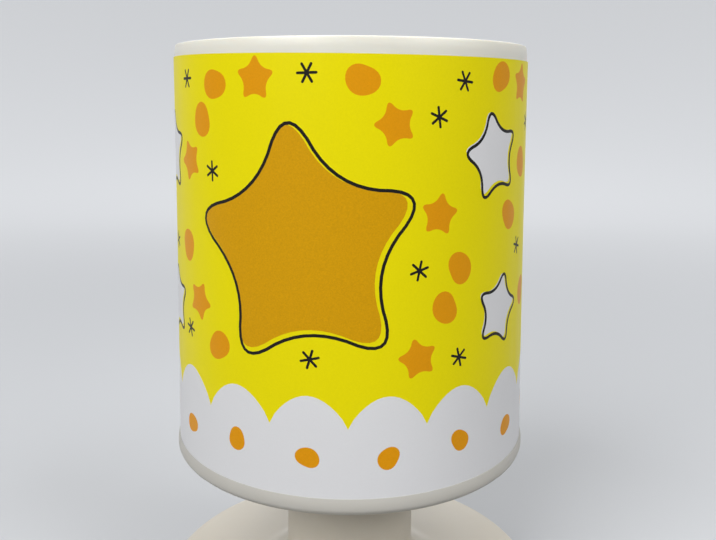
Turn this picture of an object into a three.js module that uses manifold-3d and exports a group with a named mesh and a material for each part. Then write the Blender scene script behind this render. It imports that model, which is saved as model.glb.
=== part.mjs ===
// Kids table lamp: a hollow moulded foot and neck, a dish that carries a tapered shade tube in a printed
// sleeve, a small screw lampholder with its bulb, and the switch, terminals and weight inside the foot.
// Millimetres, +Z up, front towards -Y. The origin is the middle of the circle that the rubber pads stand on.

import * as THREE from 'three';
import { mergeVertices } from 'three/addons/utils/BufferGeometryUtils.js';
import Module from 'manifold-3d';

const wasm = await Module();
wasm.setup();

// Foot, neck and deck, one moulding
const footRadius = 69;
const footTop = 20;
const footEdgeRound = 3;
const footWall = 2.5;
const skirtLift = 1.5;
const neckRadius = 23;
const neckHeight = 54.7;
const neckFillet = 15;
const neckEdgeRound = 0.6;
const deckThickness = 2.5;
const neckTop = footTop + neckHeight;
const footCeiling = footTop - footWall;
const footInner = footRadius - footWall;

// Ribs, bosses and pegs of the foot moulding
const ribCount = 8;
const ribThickness = 1.5;
const ribDepth = 4;
const neckRibCount = 4;
const neckRibReach = 2.4;
const bossRadius = 4;
const bossInset = 10.5;
const gussetDepth = 8.5;
const keyPegRadius = 1.5;
const keyPegHeight = 1.5;
const keyPegPlace = 14;
const bossCircle = footInner - bossInset;

// Cover plate, its screws and the rubber pads
const coverThickness = 2.2;
const coverLift = 2.2;
const coverClearance = 0.4;
const coverEdgeBevel = 0.5;
const coverScrewCount = 4;
const coverScrewHead = 3.1;
const coverScrewHeadDepth = 1.5;
const coverScrewShank = 1.4;
const coverScrewLength = 10;
const crossWidth = 0.7;
const crossReach = 1.7;
const crossDepth = 0.9;
const padCount = 4;
const padRadius = 6;
const padThickness = 3;
const padEdgeBevel = 0.6;
const padInset = 10.5;
const coverTop = coverLift + coverThickness;
const padCircle = footInner - padInset;

// Weight plate on the cover
const weightInset = 28.5;
const weightBore = 9;
const weightThickness = 3;
const weightEdgeBevel = 0.4;
const weightScrewCount = 3;
const weightScrewInset = 10;
const weightScrewHead = 2.8;
const weightScrewHeadDepth = 1.3;
const weightScrewShank = 1.5;
const weightTop = coverTop + weightThickness;
const weightRadius = footInner - weightInset;
const weightScrewCircle = weightRadius - weightScrewInset;

// Cable inlet bush and cord clamp at the back
const inletHeight = 10.5;
const bushBarrel = 4;
const bushBore = 3.1;
const bushFlange = 5;
const bushFlangeThickness = 1.5;
const bushLipBevel = 0.5;
const clampInset = 9.5;
const clampSpread = 8;
const clampPostRadius = 3.2;
const clampPostDepth = 9.1;
const clampBarWidth = 7;
const clampBarThickness = 1.8;
const clampScrewHead = 2.6;
const clampScrewHeadDepth = 1.4;
const clampScrewShank = 1.1;
const clampScrewLength = 8;
const saddleWidth = 8;
const clampDistance = footInner - clampInset;

// Terminal block
const terminalInset = 14.5;
const terminalAngle = THREE.MathUtils.degToRad(117);
const terminalPitch = 11;
const terminalBarrel = 4;
const terminalLength = 14;
const terminalHang = 0.3;
const terminalWeb = 3;
const sleeveTubeRadius = 2.2;
const sleeveTubeBore = 1.4;
const sleeveTubeLength = 12;
const terminalScrewHead = 1.4;
const terminalScrewShank = 0.9;
const terminalScrewSpread = 3.6;
const terminalWellRadius = 1.8;
const fixingScrewHead = 2.1;
const fixingScrewShank = 1.1;
const fixingScrewGrip = 3;
const terminalTop = footCeiling - ribDepth - terminalHang;
const terminalAxis = terminalTop - terminalBarrel;
const terminalPlace = [
  (footInner - terminalInset) * Math.cos(terminalAngle),
  (footInner - terminalInset) * Math.sin(terminalAngle),
];

// Rocker switch in the foot's top face
const bezelLength = 16.7;
const bezelWidth = 11.4;
const bezelHeight = 1.2;
const bezelCorner = 1.2;
const wellLength = 12.5;
const wellWidth = 6.9;
const wellDepth = 3.5;
const switchWall = 0.9;
const switchSideWall = 1.05;
const switchBodyDepth = 11.5;
const barbProud = 0.8;
const barbWidth = 4;
const barbHeight = 3;
const rockerPivotDrop = 1.8;
const rockerReach = 5.95;
const rockerCrown = 1.9;
const rockerKeel = 2.4;
const rockerSideGap = 0.2;
const trunnionRadius = 0.6;
const trunnionReach = 0.6;
const rockerTilt = THREE.MathUtils.degToRad(8);
const tabSpread = 3.8;
const tabWidth = 2.8;
const tabThickness = 0.8;
const tabLength = 3.2;
const rockerPivotHeight = footTop + bezelHeight - rockerPivotDrop;
const switchFloor = footTop - switchBodyDepth;
const switchDistance = (neckRadius + neckFillet + footRadius - footEdgeRound) / 2;

// Threaded nipple with its nut and toothed washer
const nippleRadius = 5;
const nippleBore = 3.7;
const nippleBelow = 8.3;
const nippleAbove = 4.5;
const nutAcrossFlats = 14;
const nutThickness = 3.5;
const washerRadius = 9;
const washerThickness = 0.8;
const washerToothCount = 12;
const washerToothDepth = 1.2;

// Dish that carries the shade
const dishFloor = 2.2;
const dishRimHeight = 5.1;
const dishRimProud = 0.8;
const dishRimTaper = 0.2;
const dishEdgeRound = 2.5;
const dishLedgeRound = 1.2;
const spigotHeight = 8.5;
const spigotWall = 1.8;
const spigotClearance = 0.35;
const spigotBevel = 0.6;
const dishSlotCount = 12;
const dishSlotWidth = 3;
const dishSlotFromNeck = 6;
const dishSlotFromSleeve = 10;
const dishRibCount = 6;
const dishRibHeight = 2.5;
const dishTop = neckTop + dishFloor;
const dishLedge = neckTop + dishRimHeight;

// Printed sleeve and shade tube
const sleeveBottomRadius = 60.4;
const sleeveTaper = 3.3;
const sleeveHeight = 124.6;
const sleeveThickness = 0.25;
const sleeveClearance = 0.1;
const sleeveInset = 0.2;
const sleeveWaist = 0.22;
const sleeveSeam = 0.5;
const shadeWall = 2;
const shadeBandHeight = 4.6;
const shadeEdgeRound = 1.6;
const shadeInnerRound = 0.6;
const shadeSeatGap = 0.2;
const shadeBottom = dishLedge + shadeSeatGap;
const sleeveBottom = shadeBottom + sleeveInset;
const sleeveTop = sleeveBottom + sleeveHeight;
const shadeTop = sleeveTop + shadeBandHeight;
const sleeveTopRadius = sleeveBottomRadius - sleeveTaper;
const dishSlotStart = neckRadius + dishSlotFromNeck;
const dishSlotEnd = sleeveBottomRadius - dishSlotFromSleeve;

// Lampholder
const holderRadius = 14;
const holderFootRadius = 9.5;
const holderWall = 2;
const capHeight = 16;
const capFloor = 3;
const capShoulderRise = 12;
const capFlareStart = 4;
const capFlareEnd = 7;
const blockRadius = 11.7;
const blockHeight = 10;
const shellRadius = 8;
const shellWall = 0.6;
const shellLength = 16.5;
const shellBottomHole = 5;
const barrelHeight = 26.5;
const barrelJoint = 0.3;
const barrelMouth = 11;
const barrelEdgeRound = 1.5;
const holderScrewPlace = 7.4;
const holderScrewHead = 2.1;
const holderScrewHeadDepth = 1.2;
const holderScrewShank = 1.2;
const holderScrewLength = 5;
const leadHolePlace = 4;
const leadHoleDepth = 3.2;
const tongueHalfLength = 4.2;
const tongueWidth = 3;
const tongueRise = 2.5;
const tongueThickness = 0.5;
const blockBottom = dishTop + capShoulderRise;
const blockTop = blockBottom + blockHeight;
const capTop = dishTop + capHeight;

// Bulb
const bulbLength = 78;
const bulbRadius = 22.5;
const bulbTipRadius = 2.2;
const bulbTipHeight = 0.8;
const bulbInsulatorTop = 6.4;
const bulbInsulatorHeight = 2.2;
const bulbCapRadius = 6.9;
const bulbCapHeight = 16.5;
const bulbCapBevel = 0.8;
const bulbCollarFoot = 8.5;
const bulbCollarTop = 20.4;
const bulbCollarHeight = 26;
const bulbCollarLip = 1.2;
const bulbTip = blockTop + tongueRise;

// Internal leads
const leadRadius = 1;
const leadClearance = 0.4;
const leadSpread = 1.6;
const leadInTerminal = 4;
const leadBend = 9;

// Clearances and cut allowances
const fitGap = 0.3;
const overrun = 1;

// Counts of flat faces round a turned form
const coarseSteps = 10;
const smallSteps = 14;
const mediumSteps = 24;
const footSteps = 44;
const shadeSteps = 54;
const leadSides = 6;
const leadSteps = 22;

// Finishes
const finishes = {
  ivory: { color: 0xd9d5ca, roughness: 0.42, metalness: 0 },
  shadeWhite: { color: 0xe8e8df, roughness: 0.4, metalness: 0 },
  print: { color: 0xe2d400, roughness: 0.38, metalness: 0 },
  black: { color: 0x1d1d1f, roughness: 0.5, metalness: 0 },
  white: { color: 0xf0f0ec, roughness: 0.35, metalness: 0 },
  opal: { color: 0xf4f4f0, roughness: 0.3, metalness: 0 },
  ceramic: { color: 0xe6e2d8, roughness: 0.35, metalness: 0 },
  holder: { color: 0xddd9cc, roughness: 0.45, metalness: 0 },
  rubber: { color: 0x3a3a3c, roughness: 0.9, metalness: 0 },
  steel: { color: 0xb4b6b8, roughness: 0.35, metalness: 1 },
  brass: { color: 0xc9a44c, roughness: 0.35, metalness: 1 },
  blueLead: { color: 0x2f5fae, roughness: 0.5, metalness: 0 },
  brownLead: { color: 0x6b3f22, roughness: 0.5, metalness: 0 },
};

// Joining and cutting

// A closed geometry as a solid with its faces pointing out.
function toSolid(geometry) {
  const bare = geometry.clone();
  bare.deleteAttribute('normal');
  bare.deleteAttribute('uv');
  const merged = mergeVertices(bare);
  const index = merged.index.array;
  const corners = [];
  for (let i = 0; i < index.length; i += 3) {
    const [a, b, c] = [index[i], index[i + 1], index[i + 2]];
    if (a !== b && b !== c && c !== a) corners.push(a, b, c);
  }
  const vertProperties = Float32Array.from(merged.attributes.position.array);
  const mesh = new wasm.Mesh({ numProp: 3, vertProperties, triVerts: Uint32Array.from(corners) });
  const made = new wasm.Manifold(mesh);
  if (made.volume() > 0) return made;
  for (let i = 0; i < corners.length; i += 3) {
    [corners[i + 1], corners[i + 2]] = [corners[i + 2], corners[i + 1]];
  }
  return new wasm.Manifold(
    new wasm.Mesh({ numProp: 3, vertProperties, triVerts: Uint32Array.from(corners) }),
  );
}

function toGeometry(made) {
  const mesh = made.getMesh();
  const geometry = new THREE.BufferGeometry();
  geometry.setAttribute('position', new THREE.BufferAttribute(Float32Array.from(mesh.vertProperties), 3));
  geometry.setIndex(new THREE.BufferAttribute(Uint32Array.from(mesh.triVerts), 1));
  return geometry;
}

function joined(first, ...others) {
  return toGeometry(others.reduce((sum, other) => sum.add(toSolid(other)), toSolid(first)));
}

function cut(body, ...tools) {
  return toGeometry(tools.reduce((rest, tool) => rest.subtract(toSolid(tool)), toSolid(body)));
}

// Basic forms

// A profile of [radius, height] pairs turned round Z. It ends on the axis at both ends or closes on itself.
function turned(profile, steps = mediumSteps) {
  const points = profile.map(([radius, height]) => new THREE.Vector2(radius, height));
  const onAxis = points[0].x === 0 && points[points.length - 1].x === 0;
  if (!onAxis) points.push(points[0].clone());
  return toGeometry(toSolid(new THREE.LatheGeometry(points, steps).rotateX(Math.PI / 2)));
}

// Points of an arc in a profile, from one angle to another in degrees, 0 outwards and 90 up.
function arc(centreRadius, centreHeight, radius, from, to, steps) {
  return Array.from({ length: steps + 1 }, (_, i) => {
    const angle = THREE.MathUtils.degToRad(from + ((to - from) * i) / steps);
    return [centreRadius + radius * Math.cos(angle), centreHeight + radius * Math.sin(angle)];
  });
}

// A plain round pin along Z from one height to another.
function pin(radius, low, high, steps = coarseSteps) {
  return turned([[0, low], [radius, low], [radius, high], [0, high]], steps);
}

// A block centred in X and Y, from one height to another.
function block(lengthX, lengthY, low, high) {
  return new THREE.BoxGeometry(lengthX, lengthY, high - low).translate(0, 0, (low + high) / 2);
}

// A flat bar on the line of an angle, from an inner to an outer radius.
function radialBar(inner, outer, thickness, low, high, angle) {
  return block(outer - inner, thickness, low, high)
    .translate((inner + outer) / 2, 0, 0)
    .rotateZ(angle);
}

// A rectangle with round corners, as an outline round the origin.
function roundedRectangle(length, width, corner) {
  const [x, y, turn] = [length / 2 - corner, width / 2 - corner, Math.PI / 2];
  const outline = new THREE.Shape();
  outline.absarc(x, y, corner, 0, turn);
  outline.absarc(-x, y, corner, turn, 2 * turn);
  outline.absarc(-x, -y, corner, 2 * turn, 3 * turn);
  outline.absarc(x, -y, corner, 3 * turn, 4 * turn);
  outline.closePath();
  return outline;
}

function extruded(outline, low, high, curveSegments = 4) {
  const options = { depth: high - low, bevelEnabled: false, curveSegments };
  return new THREE.ExtrudeGeometry(outline, options).translate(0, 0, low);
}

// Angles of copies spread evenly round the axis.
function evenAngles(count, start = 0) {
  return Array.from({ length: count }, (_, i) => start + (2 * Math.PI * i) / count);
}

function onCircle(radius, angle) {
  return [radius * Math.cos(angle), radius * Math.sin(angle)];
}

// A countersunk screw whose head is flush with a face at height 0, pointing up.
function countersunkScrew(head, headDepth, shank, length) {
  return turned([[0, 0], [head, 0], [shank, headDepth], [shank, length], [0, length]], coarseSteps);
}

// The hole for it, larger by the fit gap all round.
function countersunkHole(head, headDepth, shank, length) {
  const [wide, narrow] = [head + fitGap, shank + fitGap];
  return turned([
    [0, -overrun],
    [wide, -overrun],
    [wide, 0],
    [narrow, headDepth],
    [narrow, length],
    [0, length],
  ], coarseSteps);
}

// A screw with a flat round head that hangs below height 0, its shank pointing up.
function panScrew(head, headDepth, shank, length) {
  return turned([
    [0, -headDepth],
    [head, -headDepth],
    [head, 0],
    [shank, 0],
    [shank, length],
    [0, length],
  ], coarseSteps);
}

const lamp = new THREE.Group();

function addPiece(name, geometry, finish, parent = lamp) {
  const mesh = new THREE.Mesh(geometry, new THREE.MeshStandardMaterial(finish));
  mesh.name = name;
  parent.add(mesh);
  return mesh;
}

// Foot

const coverScrewAngles = evenAngles(coverScrewCount, Math.PI / coverScrewCount);

function footShell() {
  const fillet = [neckRadius + neckFillet, footTop + neckFillet];
  const inner = footInner;
  const bore = nippleRadius + fitGap;
  const skin = turned([
    [footRadius, skirtLift],
    ...arc(footRadius - footEdgeRound, footTop - footEdgeRound, footEdgeRound, 0, 90, 3),
    ...arc(...fillet, neckFillet, 270, 180, 6),
    ...arc(neckRadius - neckEdgeRound, neckTop - neckEdgeRound, neckEdgeRound, 0, 90, 1),
    [bore, neckTop],
    [bore, neckTop - deckThickness],
    [neckRadius - footWall, neckTop - deckThickness],
    ...arc(...fillet, neckFillet + footWall, 180, 270, 5),
    [inner, footCeiling],
    [inner, skirtLift],
  ], footSteps);

  const rooted = footCeiling + footWall / 2;
  const ribBottom = footCeiling - ribDepth;
  const ribs = evenAngles(ribCount, Math.PI / ribCount).map((angle) =>
    radialBar(neckRadius + neckFillet, inner + footWall / 2, ribThickness, ribBottom, rooted, angle));
  const neckRibs = evenAngles(neckRibCount, Math.PI / neckRibCount).map((angle) => {
    const wallMiddle = neckRadius - footWall / 2;
    const start = neckRadius - footWall - neckRibReach;
    return radialBar(start, wallMiddle, ribThickness, fillet[1], neckTop - deckThickness / 2, angle);
  });
  const bosses = coverScrewAngles.flatMap((angle) => {
    const [x, y] = onCircle(bossCircle, angle);
    const gusset = footCeiling - gussetDepth;
    return [
      pin(bossRadius, coverTop, rooted, smallSteps).translate(x, y, 0),
      radialBar(bossCircle, inner + footWall / 2, ribThickness, gusset, rooted, angle),
    ];
  });
  const clampPosts = [-clampSpread, clampSpread].map((x) =>
    pin(clampPostRadius, footCeiling - clampPostDepth, rooted).translate(x, clampDistance, 0));
  const saddle = block(saddleWidth, ribThickness, ribBottom, rooted).translate(0, clampDistance, 0);
  const terminalPost = pin(terminalWeb, terminalTop, rooted).translate(...terminalPlace, 0);
  const keyPegs = [-keyPegPlace, keyPegPlace].map((x) =>
    pin(keyPegRadius, neckTop - deckThickness / 2, neckTop + keyPegHeight).translate(x, 0, 0));

  const bossHoles = coverScrewAngles.map((angle) => {
    const [x, y] = onCircle(bossCircle, angle);
    const depth = coverLift + coverScrewLength + fitGap;
    return pin(coverScrewShank + fitGap, coverTop - overrun, depth).translate(x, y, 0);
  });
  const clampHoles = [-clampSpread, clampSpread].map((x) => {
    const start = footCeiling - clampPostDepth;
    const depth = start - clampBarThickness + clampScrewLength + fitGap;
    return pin(clampScrewShank + fitGap, start - overrun, depth).translate(x, clampDistance, 0);
  });
  const gripTop = terminalTop + fixingScrewGrip + fitGap;
  const terminalHole = pin(fixingScrewShank + fitGap, terminalTop - overrun, gripTop)
    .translate(...terminalPlace, 0);
  const inlet = pin(bushBarrel + fitGap, footInner - overrun, footRadius + overrun, smallSteps)
    .rotateX(-Math.PI / 2)
    .translate(0, 0, inletHeight);
  const panel = block(
    wellWidth + 2 * switchSideWall + 2 * fitGap,
    wellLength + 2 * switchWall + 2 * fitGap,
    footCeiling - overrun,
    footTop + overrun,
  ).translate(0, -switchDistance, 0);

  const posts = [...bosses, ...clampPosts, saddle, terminalPost, ...keyPegs];
  const body = joined(skin, ...ribs, ...neckRibs, ...posts);
  return cut(body, ...bossHoles, ...clampHoles, terminalHole, inlet, panel);
}

const padAngles = evenAngles(padCount, -Math.PI / 2);
const weightScrewAngles = evenAngles(weightScrewCount, Math.PI / 2);

function footCover() {
  const radius = footInner - coverClearance;
  const plate = turned([
    [0, coverLift],
    [radius - coverEdgeBevel, coverLift],
    [radius, coverLift + coverEdgeBevel],
    [radius, coverTop],
    [0, coverTop],
  ], footSteps);
  const recesses = padAngles.map((angle) => {
    const [x, y] = onCircle(padCircle, angle);
    return pin(padRadius + fitGap, coverLift - overrun, padThickness, smallSteps).translate(x, y, 0);
  });
  const through = coverThickness + overrun;
  const coverHole = countersunkHole(coverScrewHead, coverScrewHeadDepth, coverScrewShank, through);
  const weightHole = countersunkHole(weightScrewHead, weightScrewHeadDepth, weightScrewShank, through);
  const holes = [
    ...coverScrewAngles.map((angle) =>
      coverHole.clone().translate(...onCircle(bossCircle, angle), coverLift)),
    ...weightScrewAngles.map((angle) =>
      weightHole.clone().translate(...onCircle(weightScrewCircle, angle), coverLift)),
  ];
  return cut(plate, ...recesses, ...holes);
}

addPiece('foot_shell', footShell(), finishes.ivory);
addPiece('foot_cover', footCover(), finishes.ivory);

const crossRecess = [0, Math.PI / 2].map((angle) =>
  block(2 * crossReach, crossWidth, -overrun, crossDepth).rotateZ(angle));
coverScrewAngles.forEach((angle, i) => {
  const screw = countersunkScrew(coverScrewHead, coverScrewHeadDepth, coverScrewShank, coverScrewLength);
  const mesh = addPiece(`cover_screw_${i + 1}`, cut(screw, ...crossRecess), finishes.steel);
  mesh.position.set(...onCircle(bossCircle, angle), coverLift);
});

padAngles.forEach((angle, i) => {
  const pad = turned([
    [0, 0],
    [padRadius - padEdgeBevel, 0],
    [padRadius, padEdgeBevel],
    [padRadius, padThickness],
    [0, padThickness],
  ], smallSteps);
  addPiece(`foot_pad_${i + 1}`, pad, finishes.rubber).position.set(...onCircle(padCircle, angle), 0);
});

// Weight plate

function weightPlate() {
  const plate = turned([
    [weightBore, coverTop],
    [weightRadius - weightEdgeBevel, coverTop],
    [weightRadius, coverTop + weightEdgeBevel],
    [weightRadius, weightTop - weightEdgeBevel],
    [weightRadius - weightEdgeBevel, weightTop],
    [weightBore, weightTop],
  ]);
  const holes = weightScrewAngles.map((angle) =>
    pin(weightScrewShank + fitGap, coverTop - overrun, weightTop + overrun)
      .translate(...onCircle(weightScrewCircle, angle), 0));
  return cut(plate, ...holes);
}

addPiece('ballast_plate', weightPlate(), finishes.steel);
weightScrewAngles.forEach((angle, i) => {
  const length = coverThickness + weightThickness - fitGap;
  const screw = countersunkScrew(weightScrewHead, weightScrewHeadDepth, weightScrewShank, length);
  const mesh = addPiece(`ballast_screw_${i + 1}`, screw, finishes.steel);
  mesh.position.set(...onCircle(weightScrewCircle, angle), coverLift);
});

// Cable inlet and cord clamp

function inletBush() {
  const flangeFace = footInner - fitGap - bushLipBevel / 2;
  const profile = [
    [bushBore, footRadius - bushLipBevel],
    [bushBore, flangeFace - bushFlangeThickness],
    [bushFlange, flangeFace - bushFlangeThickness],
    [bushFlange, flangeFace],
    [bushBarrel, flangeFace],
    [bushBarrel, footRadius - bushLipBevel],
    [bushBarrel - bushLipBevel, footRadius],
    [bushBore + bushLipBevel / 2, footRadius],
  ];
  return turned(profile, smallSteps).rotateX(-Math.PI / 2);
}

addPiece('cable_inlet_bush', inletBush(), finishes.black).position.set(0, 0, inletHeight);

const clampBarTop = footCeiling - clampPostDepth;
const clampBarBottom = clampBarTop - clampBarThickness;
const clampBarOutline = roundedRectangle(2 * clampSpread + clampBarWidth, clampBarWidth, clampBarWidth / 2);
const clampBarHoles = [-clampSpread, clampSpread].map((x) =>
  pin(clampScrewShank + fitGap, clampBarBottom - overrun, clampBarTop + overrun).translate(x, 0, 0));
const clampBar = cut(extruded(clampBarOutline, clampBarBottom, clampBarTop), ...clampBarHoles);
addPiece('cord_clamp_bar', clampBar, finishes.black).position.set(0, clampDistance, 0);
[-clampSpread, clampSpread].forEach((x, i) => {
  const screw = panScrew(clampScrewHead, clampScrewHeadDepth, clampScrewShank, clampScrewLength);
  const mesh = addPiece(`cord_clamp_screw_${i + 1}`, screw, finishes.steel);
  mesh.position.set(x, clampDistance, clampBarBottom);
});

// Terminal block, seen from its own middle: two barrels side by side in X, the wires along Y

const poles = [-terminalPitch / 2, terminalPitch / 2];
const screwPlaces = poles.flatMap((x) => [[x, -terminalScrewSpread], [x, terminalScrewSpread]]);

function terminalBlock() {
  const barrels = poles.map((x) =>
    pin(terminalBarrel, -terminalLength / 2, terminalLength / 2, smallSteps)
      .rotateX(Math.PI / 2)
      .translate(x, 0, 0));
  const web = block(terminalPitch, terminalLength, 0, terminalBarrel);
  const bores = poles.map((x) =>
    pin(sleeveTubeRadius + fitGap, -terminalLength, terminalLength).rotateX(Math.PI / 2).translate(x, 0, 0));
  const wells = screwPlaces.map(([x, y]) =>
    pin(terminalWellRadius, -terminalBarrel - overrun, 0).translate(x, y, 0));
  const fixing = pin(fixingScrewShank + fitGap, -terminalBarrel, terminalBarrel + overrun);
  const fixingWell = pin(fixingScrewHead + fitGap, -terminalBarrel - overrun, 0);
  return cut(joined(...barrels, web), ...bores, ...wells, fixing, fixingWell);
}

function terminalSleeve(x) {
  const tube = turned([
    [sleeveTubeBore, -sleeveTubeLength / 2],
    [sleeveTubeRadius, -sleeveTubeLength / 2],
    [sleeveTubeRadius, sleeveTubeLength / 2],
    [sleeveTubeBore, sleeveTubeLength / 2],
  ], smallSteps).rotateX(Math.PI / 2);
  const holes = [-terminalScrewSpread, terminalScrewSpread].map((y) =>
    pin(terminalScrewShank + fitGap, -terminalBarrel, 0).translate(0, y, 0));
  return cut(tube, ...holes).translate(x, 0, 0);
}

const terminalGroup = new THREE.Group();
terminalGroup.position.set(...terminalPlace, terminalAxis);
terminalGroup.rotation.z = terminalAngle - Math.PI / 2;
lamp.add(terminalGroup);
addPiece('terminal_block', terminalBlock(), finishes.white, terminalGroup);
poles.forEach((x, i) => {
  addPiece(`terminal_sleeve_${i + 1}`, terminalSleeve(x), finishes.brass, terminalGroup);
});
screwPlaces.forEach(([x, y], i) => {
  const seat = -sleeveTubeRadius - fitGap;
  const reach = -seat - leadRadius - fitGap;
  const headDepth = terminalBarrel - sleeveTubeRadius - 2 * fitGap;
  const screw = panScrew(terminalScrewHead, headDepth, terminalScrewShank, reach);
  addPiece(`terminal_screw_${i + 1}`, screw, finishes.steel, terminalGroup).position.set(x, y, seat);
});
const fixingScrew = panScrew(
  fixingScrewHead, terminalScrewShank, fixingScrewShank, terminalBarrel + fixingScrewGrip,
);
addPiece('terminal_fixing_screw', fixingScrew, finishes.steel, terminalGroup);

// Rocker switch, seen from the middle of the hole in the foot's top face

// Lays a section that is drawn in X and Y and drawn out along Z into Y and Z, drawn out along X.
const sectionAcross = new THREE.Matrix4().makeBasis(
  new THREE.Vector3(0, 1, 0), new THREE.Vector3(0, 0, 1), new THREE.Vector3(1, 0, 0),
);

function switchHousing() {
  const bezelOutline = roundedRectangle(bezelWidth, bezelLength, bezelCorner);
  const bezel = extruded(bezelOutline, footTop, footTop + bezelHeight);
  const bodyWidth = wellWidth + 2 * switchSideWall;
  const body = block(bodyWidth, wellLength + 2 * switchWall, switchFloor, footTop + bezelHeight / 2);
  const well = block(wellWidth, wellLength, rockerPivotHeight - wellDepth, footTop + bezelHeight + overrun);
  const bearing = pin(trunnionRadius + fitGap, -1, 1)
    .scale(1, 1, wellWidth / 2 + trunnionReach + rockerSideGap)
    .rotateY(Math.PI / 2)
    .translate(0, 0, rockerPivotHeight);
  const barbs = [0, Math.PI].map((angle) => snapBarb().rotateZ(angle));
  return cut(joined(bezel, body, ...barbs), well, bearing);
}

// A wedge on the end of the switch body that springs out under the foot's top wall.
function snapBarb() {
  const end = wellLength / 2 + switchWall;
  const top = footCeiling - fitGap;
  const wedge = new THREE.Shape([
    new THREE.Vector2(end - switchWall / 2, top),
    new THREE.Vector2(end + barbProud, top),
    new THREE.Vector2(end, top - barbHeight),
    new THREE.Vector2(end - switchWall / 2, top - barbHeight),
  ]);
  return extruded(wedge, -barbWidth / 2, barbWidth / 2).applyMatrix4(sectionAcross);
}

// Cross-section along Y and Z round the pivot: round ends, a flat keel and a shallow hollow on top.
function rocker() {
  const halfWidth = wellWidth / 2 - rockerSideGap;
  const rim = Math.asin((rockerPivotDrop + fitGap) / rockerReach) + rockerTilt;
  const keel = Math.asin(rockerKeel / rockerReach);
  const outline = new THREE.Shape();
  outline.absarc(0, 0, rockerReach, -keel, rim);
  outline.quadraticCurveTo(0, rockerCrown, -rockerReach * Math.cos(rim), rockerReach * Math.sin(rim));
  outline.absarc(0, 0, rockerReach, Math.PI - rim, Math.PI + keel);
  outline.closePath();
  const paddle = extruded(outline, -halfWidth, halfWidth, 8).applyMatrix4(sectionAcross);
  const trunnion = pin(trunnionRadius, -1, 1)
    .scale(1, 1, wellWidth / 2 + trunnionReach)
    .rotateY(Math.PI / 2);
  return joined(paddle, trunnion);
}

const switchGroup = new THREE.Group();
switchGroup.position.set(0, -switchDistance, 0);
lamp.add(switchGroup);
addPiece('switch_housing', switchHousing(), finishes.white, switchGroup);
const rockerMesh = addPiece('switch_rocker', rocker(), finishes.white, switchGroup);
rockerMesh.position.set(0, 0, rockerPivotHeight);
rockerMesh.rotation.x = -rockerTilt;
[tabSpread, -tabSpread].forEach((y, i) => {
  const tab = block(tabThickness, tabWidth, switchFloor - tabLength, switchFloor);
  addPiece(`switch_tab_${i + 1}`, tab, finishes.brass, switchGroup).position.set(0, y, 0);
});

// Nipple, nut and washer through the deck and the dish

const nippleBottom = neckTop - nippleBelow;
const nipple = turned([
  [nippleBore, nippleBottom],
  [nippleRadius, nippleBottom],
  [nippleRadius, dishTop + nippleAbove],
  [nippleBore, dishTop + nippleAbove],
], smallSteps);
addPiece('threaded_nipple', nipple, finishes.steel);

const washerTop = neckTop - deckThickness;
function toothedWasher() {
  const outline = new THREE.Shape();
  evenAngles(2 * washerToothCount).forEach((angle, i) => {
    const [x, y] = onCircle(i % 2 ? washerRadius - washerToothDepth : washerRadius, angle);
    if (i) outline.lineTo(x, y);
    else outline.moveTo(x, y);
  });
  outline.closePath();
  const washerBottom = washerTop - washerThickness;
  const bore = pin(nippleRadius + fitGap, washerBottom - overrun, washerTop + overrun, smallSteps);
  return cut(extruded(outline, washerBottom, washerTop), bore);
}
addPiece('nipple_washer', toothedWasher(), finishes.steel);

const nutTop = washerTop - washerThickness;
const nut = cut(
  pin(nutAcrossFlats / Math.sqrt(3), nutTop - nutThickness, nutTop, 6),
  pin(nippleRadius + fitGap, nutTop - nutThickness - overrun, nutTop + overrun, smallSteps),
);
addPiece('nipple_nut', nut, finishes.steel);

// Dish that carries the shade

// Outer radius of the sleeve at a height, with its slight waist.
function sleeveRadius(height) {
  const share = (height - sleeveBottom) / sleeveHeight;
  const straight = sleeveBottomRadius + (sleeveTopRadius - sleeveBottomRadius) * share;
  const waist = share > 0 && share < 1 ? 4 * sleeveWaist * share * (1 - share) : 0;
  return straight - waist;
}

function tubeRadius(height) {
  return sleeveRadius(height) - sleeveThickness - sleeveClearance;
}

function galleryDish() {
  const rim = sleeveBottomRadius + dishRimProud;
  const spigotTop = dishLedge + spigotHeight;
  const spigotOuter = (height) => tubeRadius(height) - shadeWall - spigotClearance;
  const spigotInner = spigotOuter(spigotTop) - spigotWall;
  const bore = nippleRadius + fitGap;
  const shell = turned([
    [bore, neckTop],
    ...arc(rim - dishRimTaper - dishEdgeRound, neckTop + dishEdgeRound, dishEdgeRound, 270, 360, 3),
    ...arc(rim - dishLedgeRound, dishLedge - dishLedgeRound, dishLedgeRound, 0, 90, 3),
    [spigotOuter(dishLedge), dishLedge],
    [spigotOuter(spigotTop - spigotBevel), spigotTop - spigotBevel],
    [spigotOuter(spigotTop) - spigotBevel, spigotTop],
    [spigotInner, spigotTop],
    [spigotInner, dishTop],
    [bore, dishTop],
  ], shadeSteps);
  const ribEnd = spigotInner + spigotWall / 2;
  const ribRoot = neckTop + dishFloor / 2;
  const ribs = evenAngles(dishRibCount, Math.PI / dishSlotCount).map((angle) =>
    radialBar(neckRadius, ribEnd, ribThickness, ribRoot, dishTop + dishRibHeight, angle));
  const slotOutline = roundedRectangle(dishSlotEnd - dishSlotStart, dishSlotWidth, dishSlotWidth / 2);
  const slots = evenAngles(dishSlotCount).map((angle) =>
    extruded(slotOutline, neckTop - overrun, dishTop + overrun, 2)
      .translate((dishSlotStart + dishSlotEnd) / 2, 0, 0)
      .rotateZ(angle));
  const keyHoles = [-keyPegPlace, keyPegPlace].map((x) =>
    pin(keyPegRadius + fitGap, neckTop - overrun, dishTop + overrun).translate(x, 0, 0));
  return cut(joined(shell, ...ribs), ...slots, ...keyHoles);
}

addPiece('gallery_dish', galleryDish(), finishes.ivory);

// Lampholder

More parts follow.
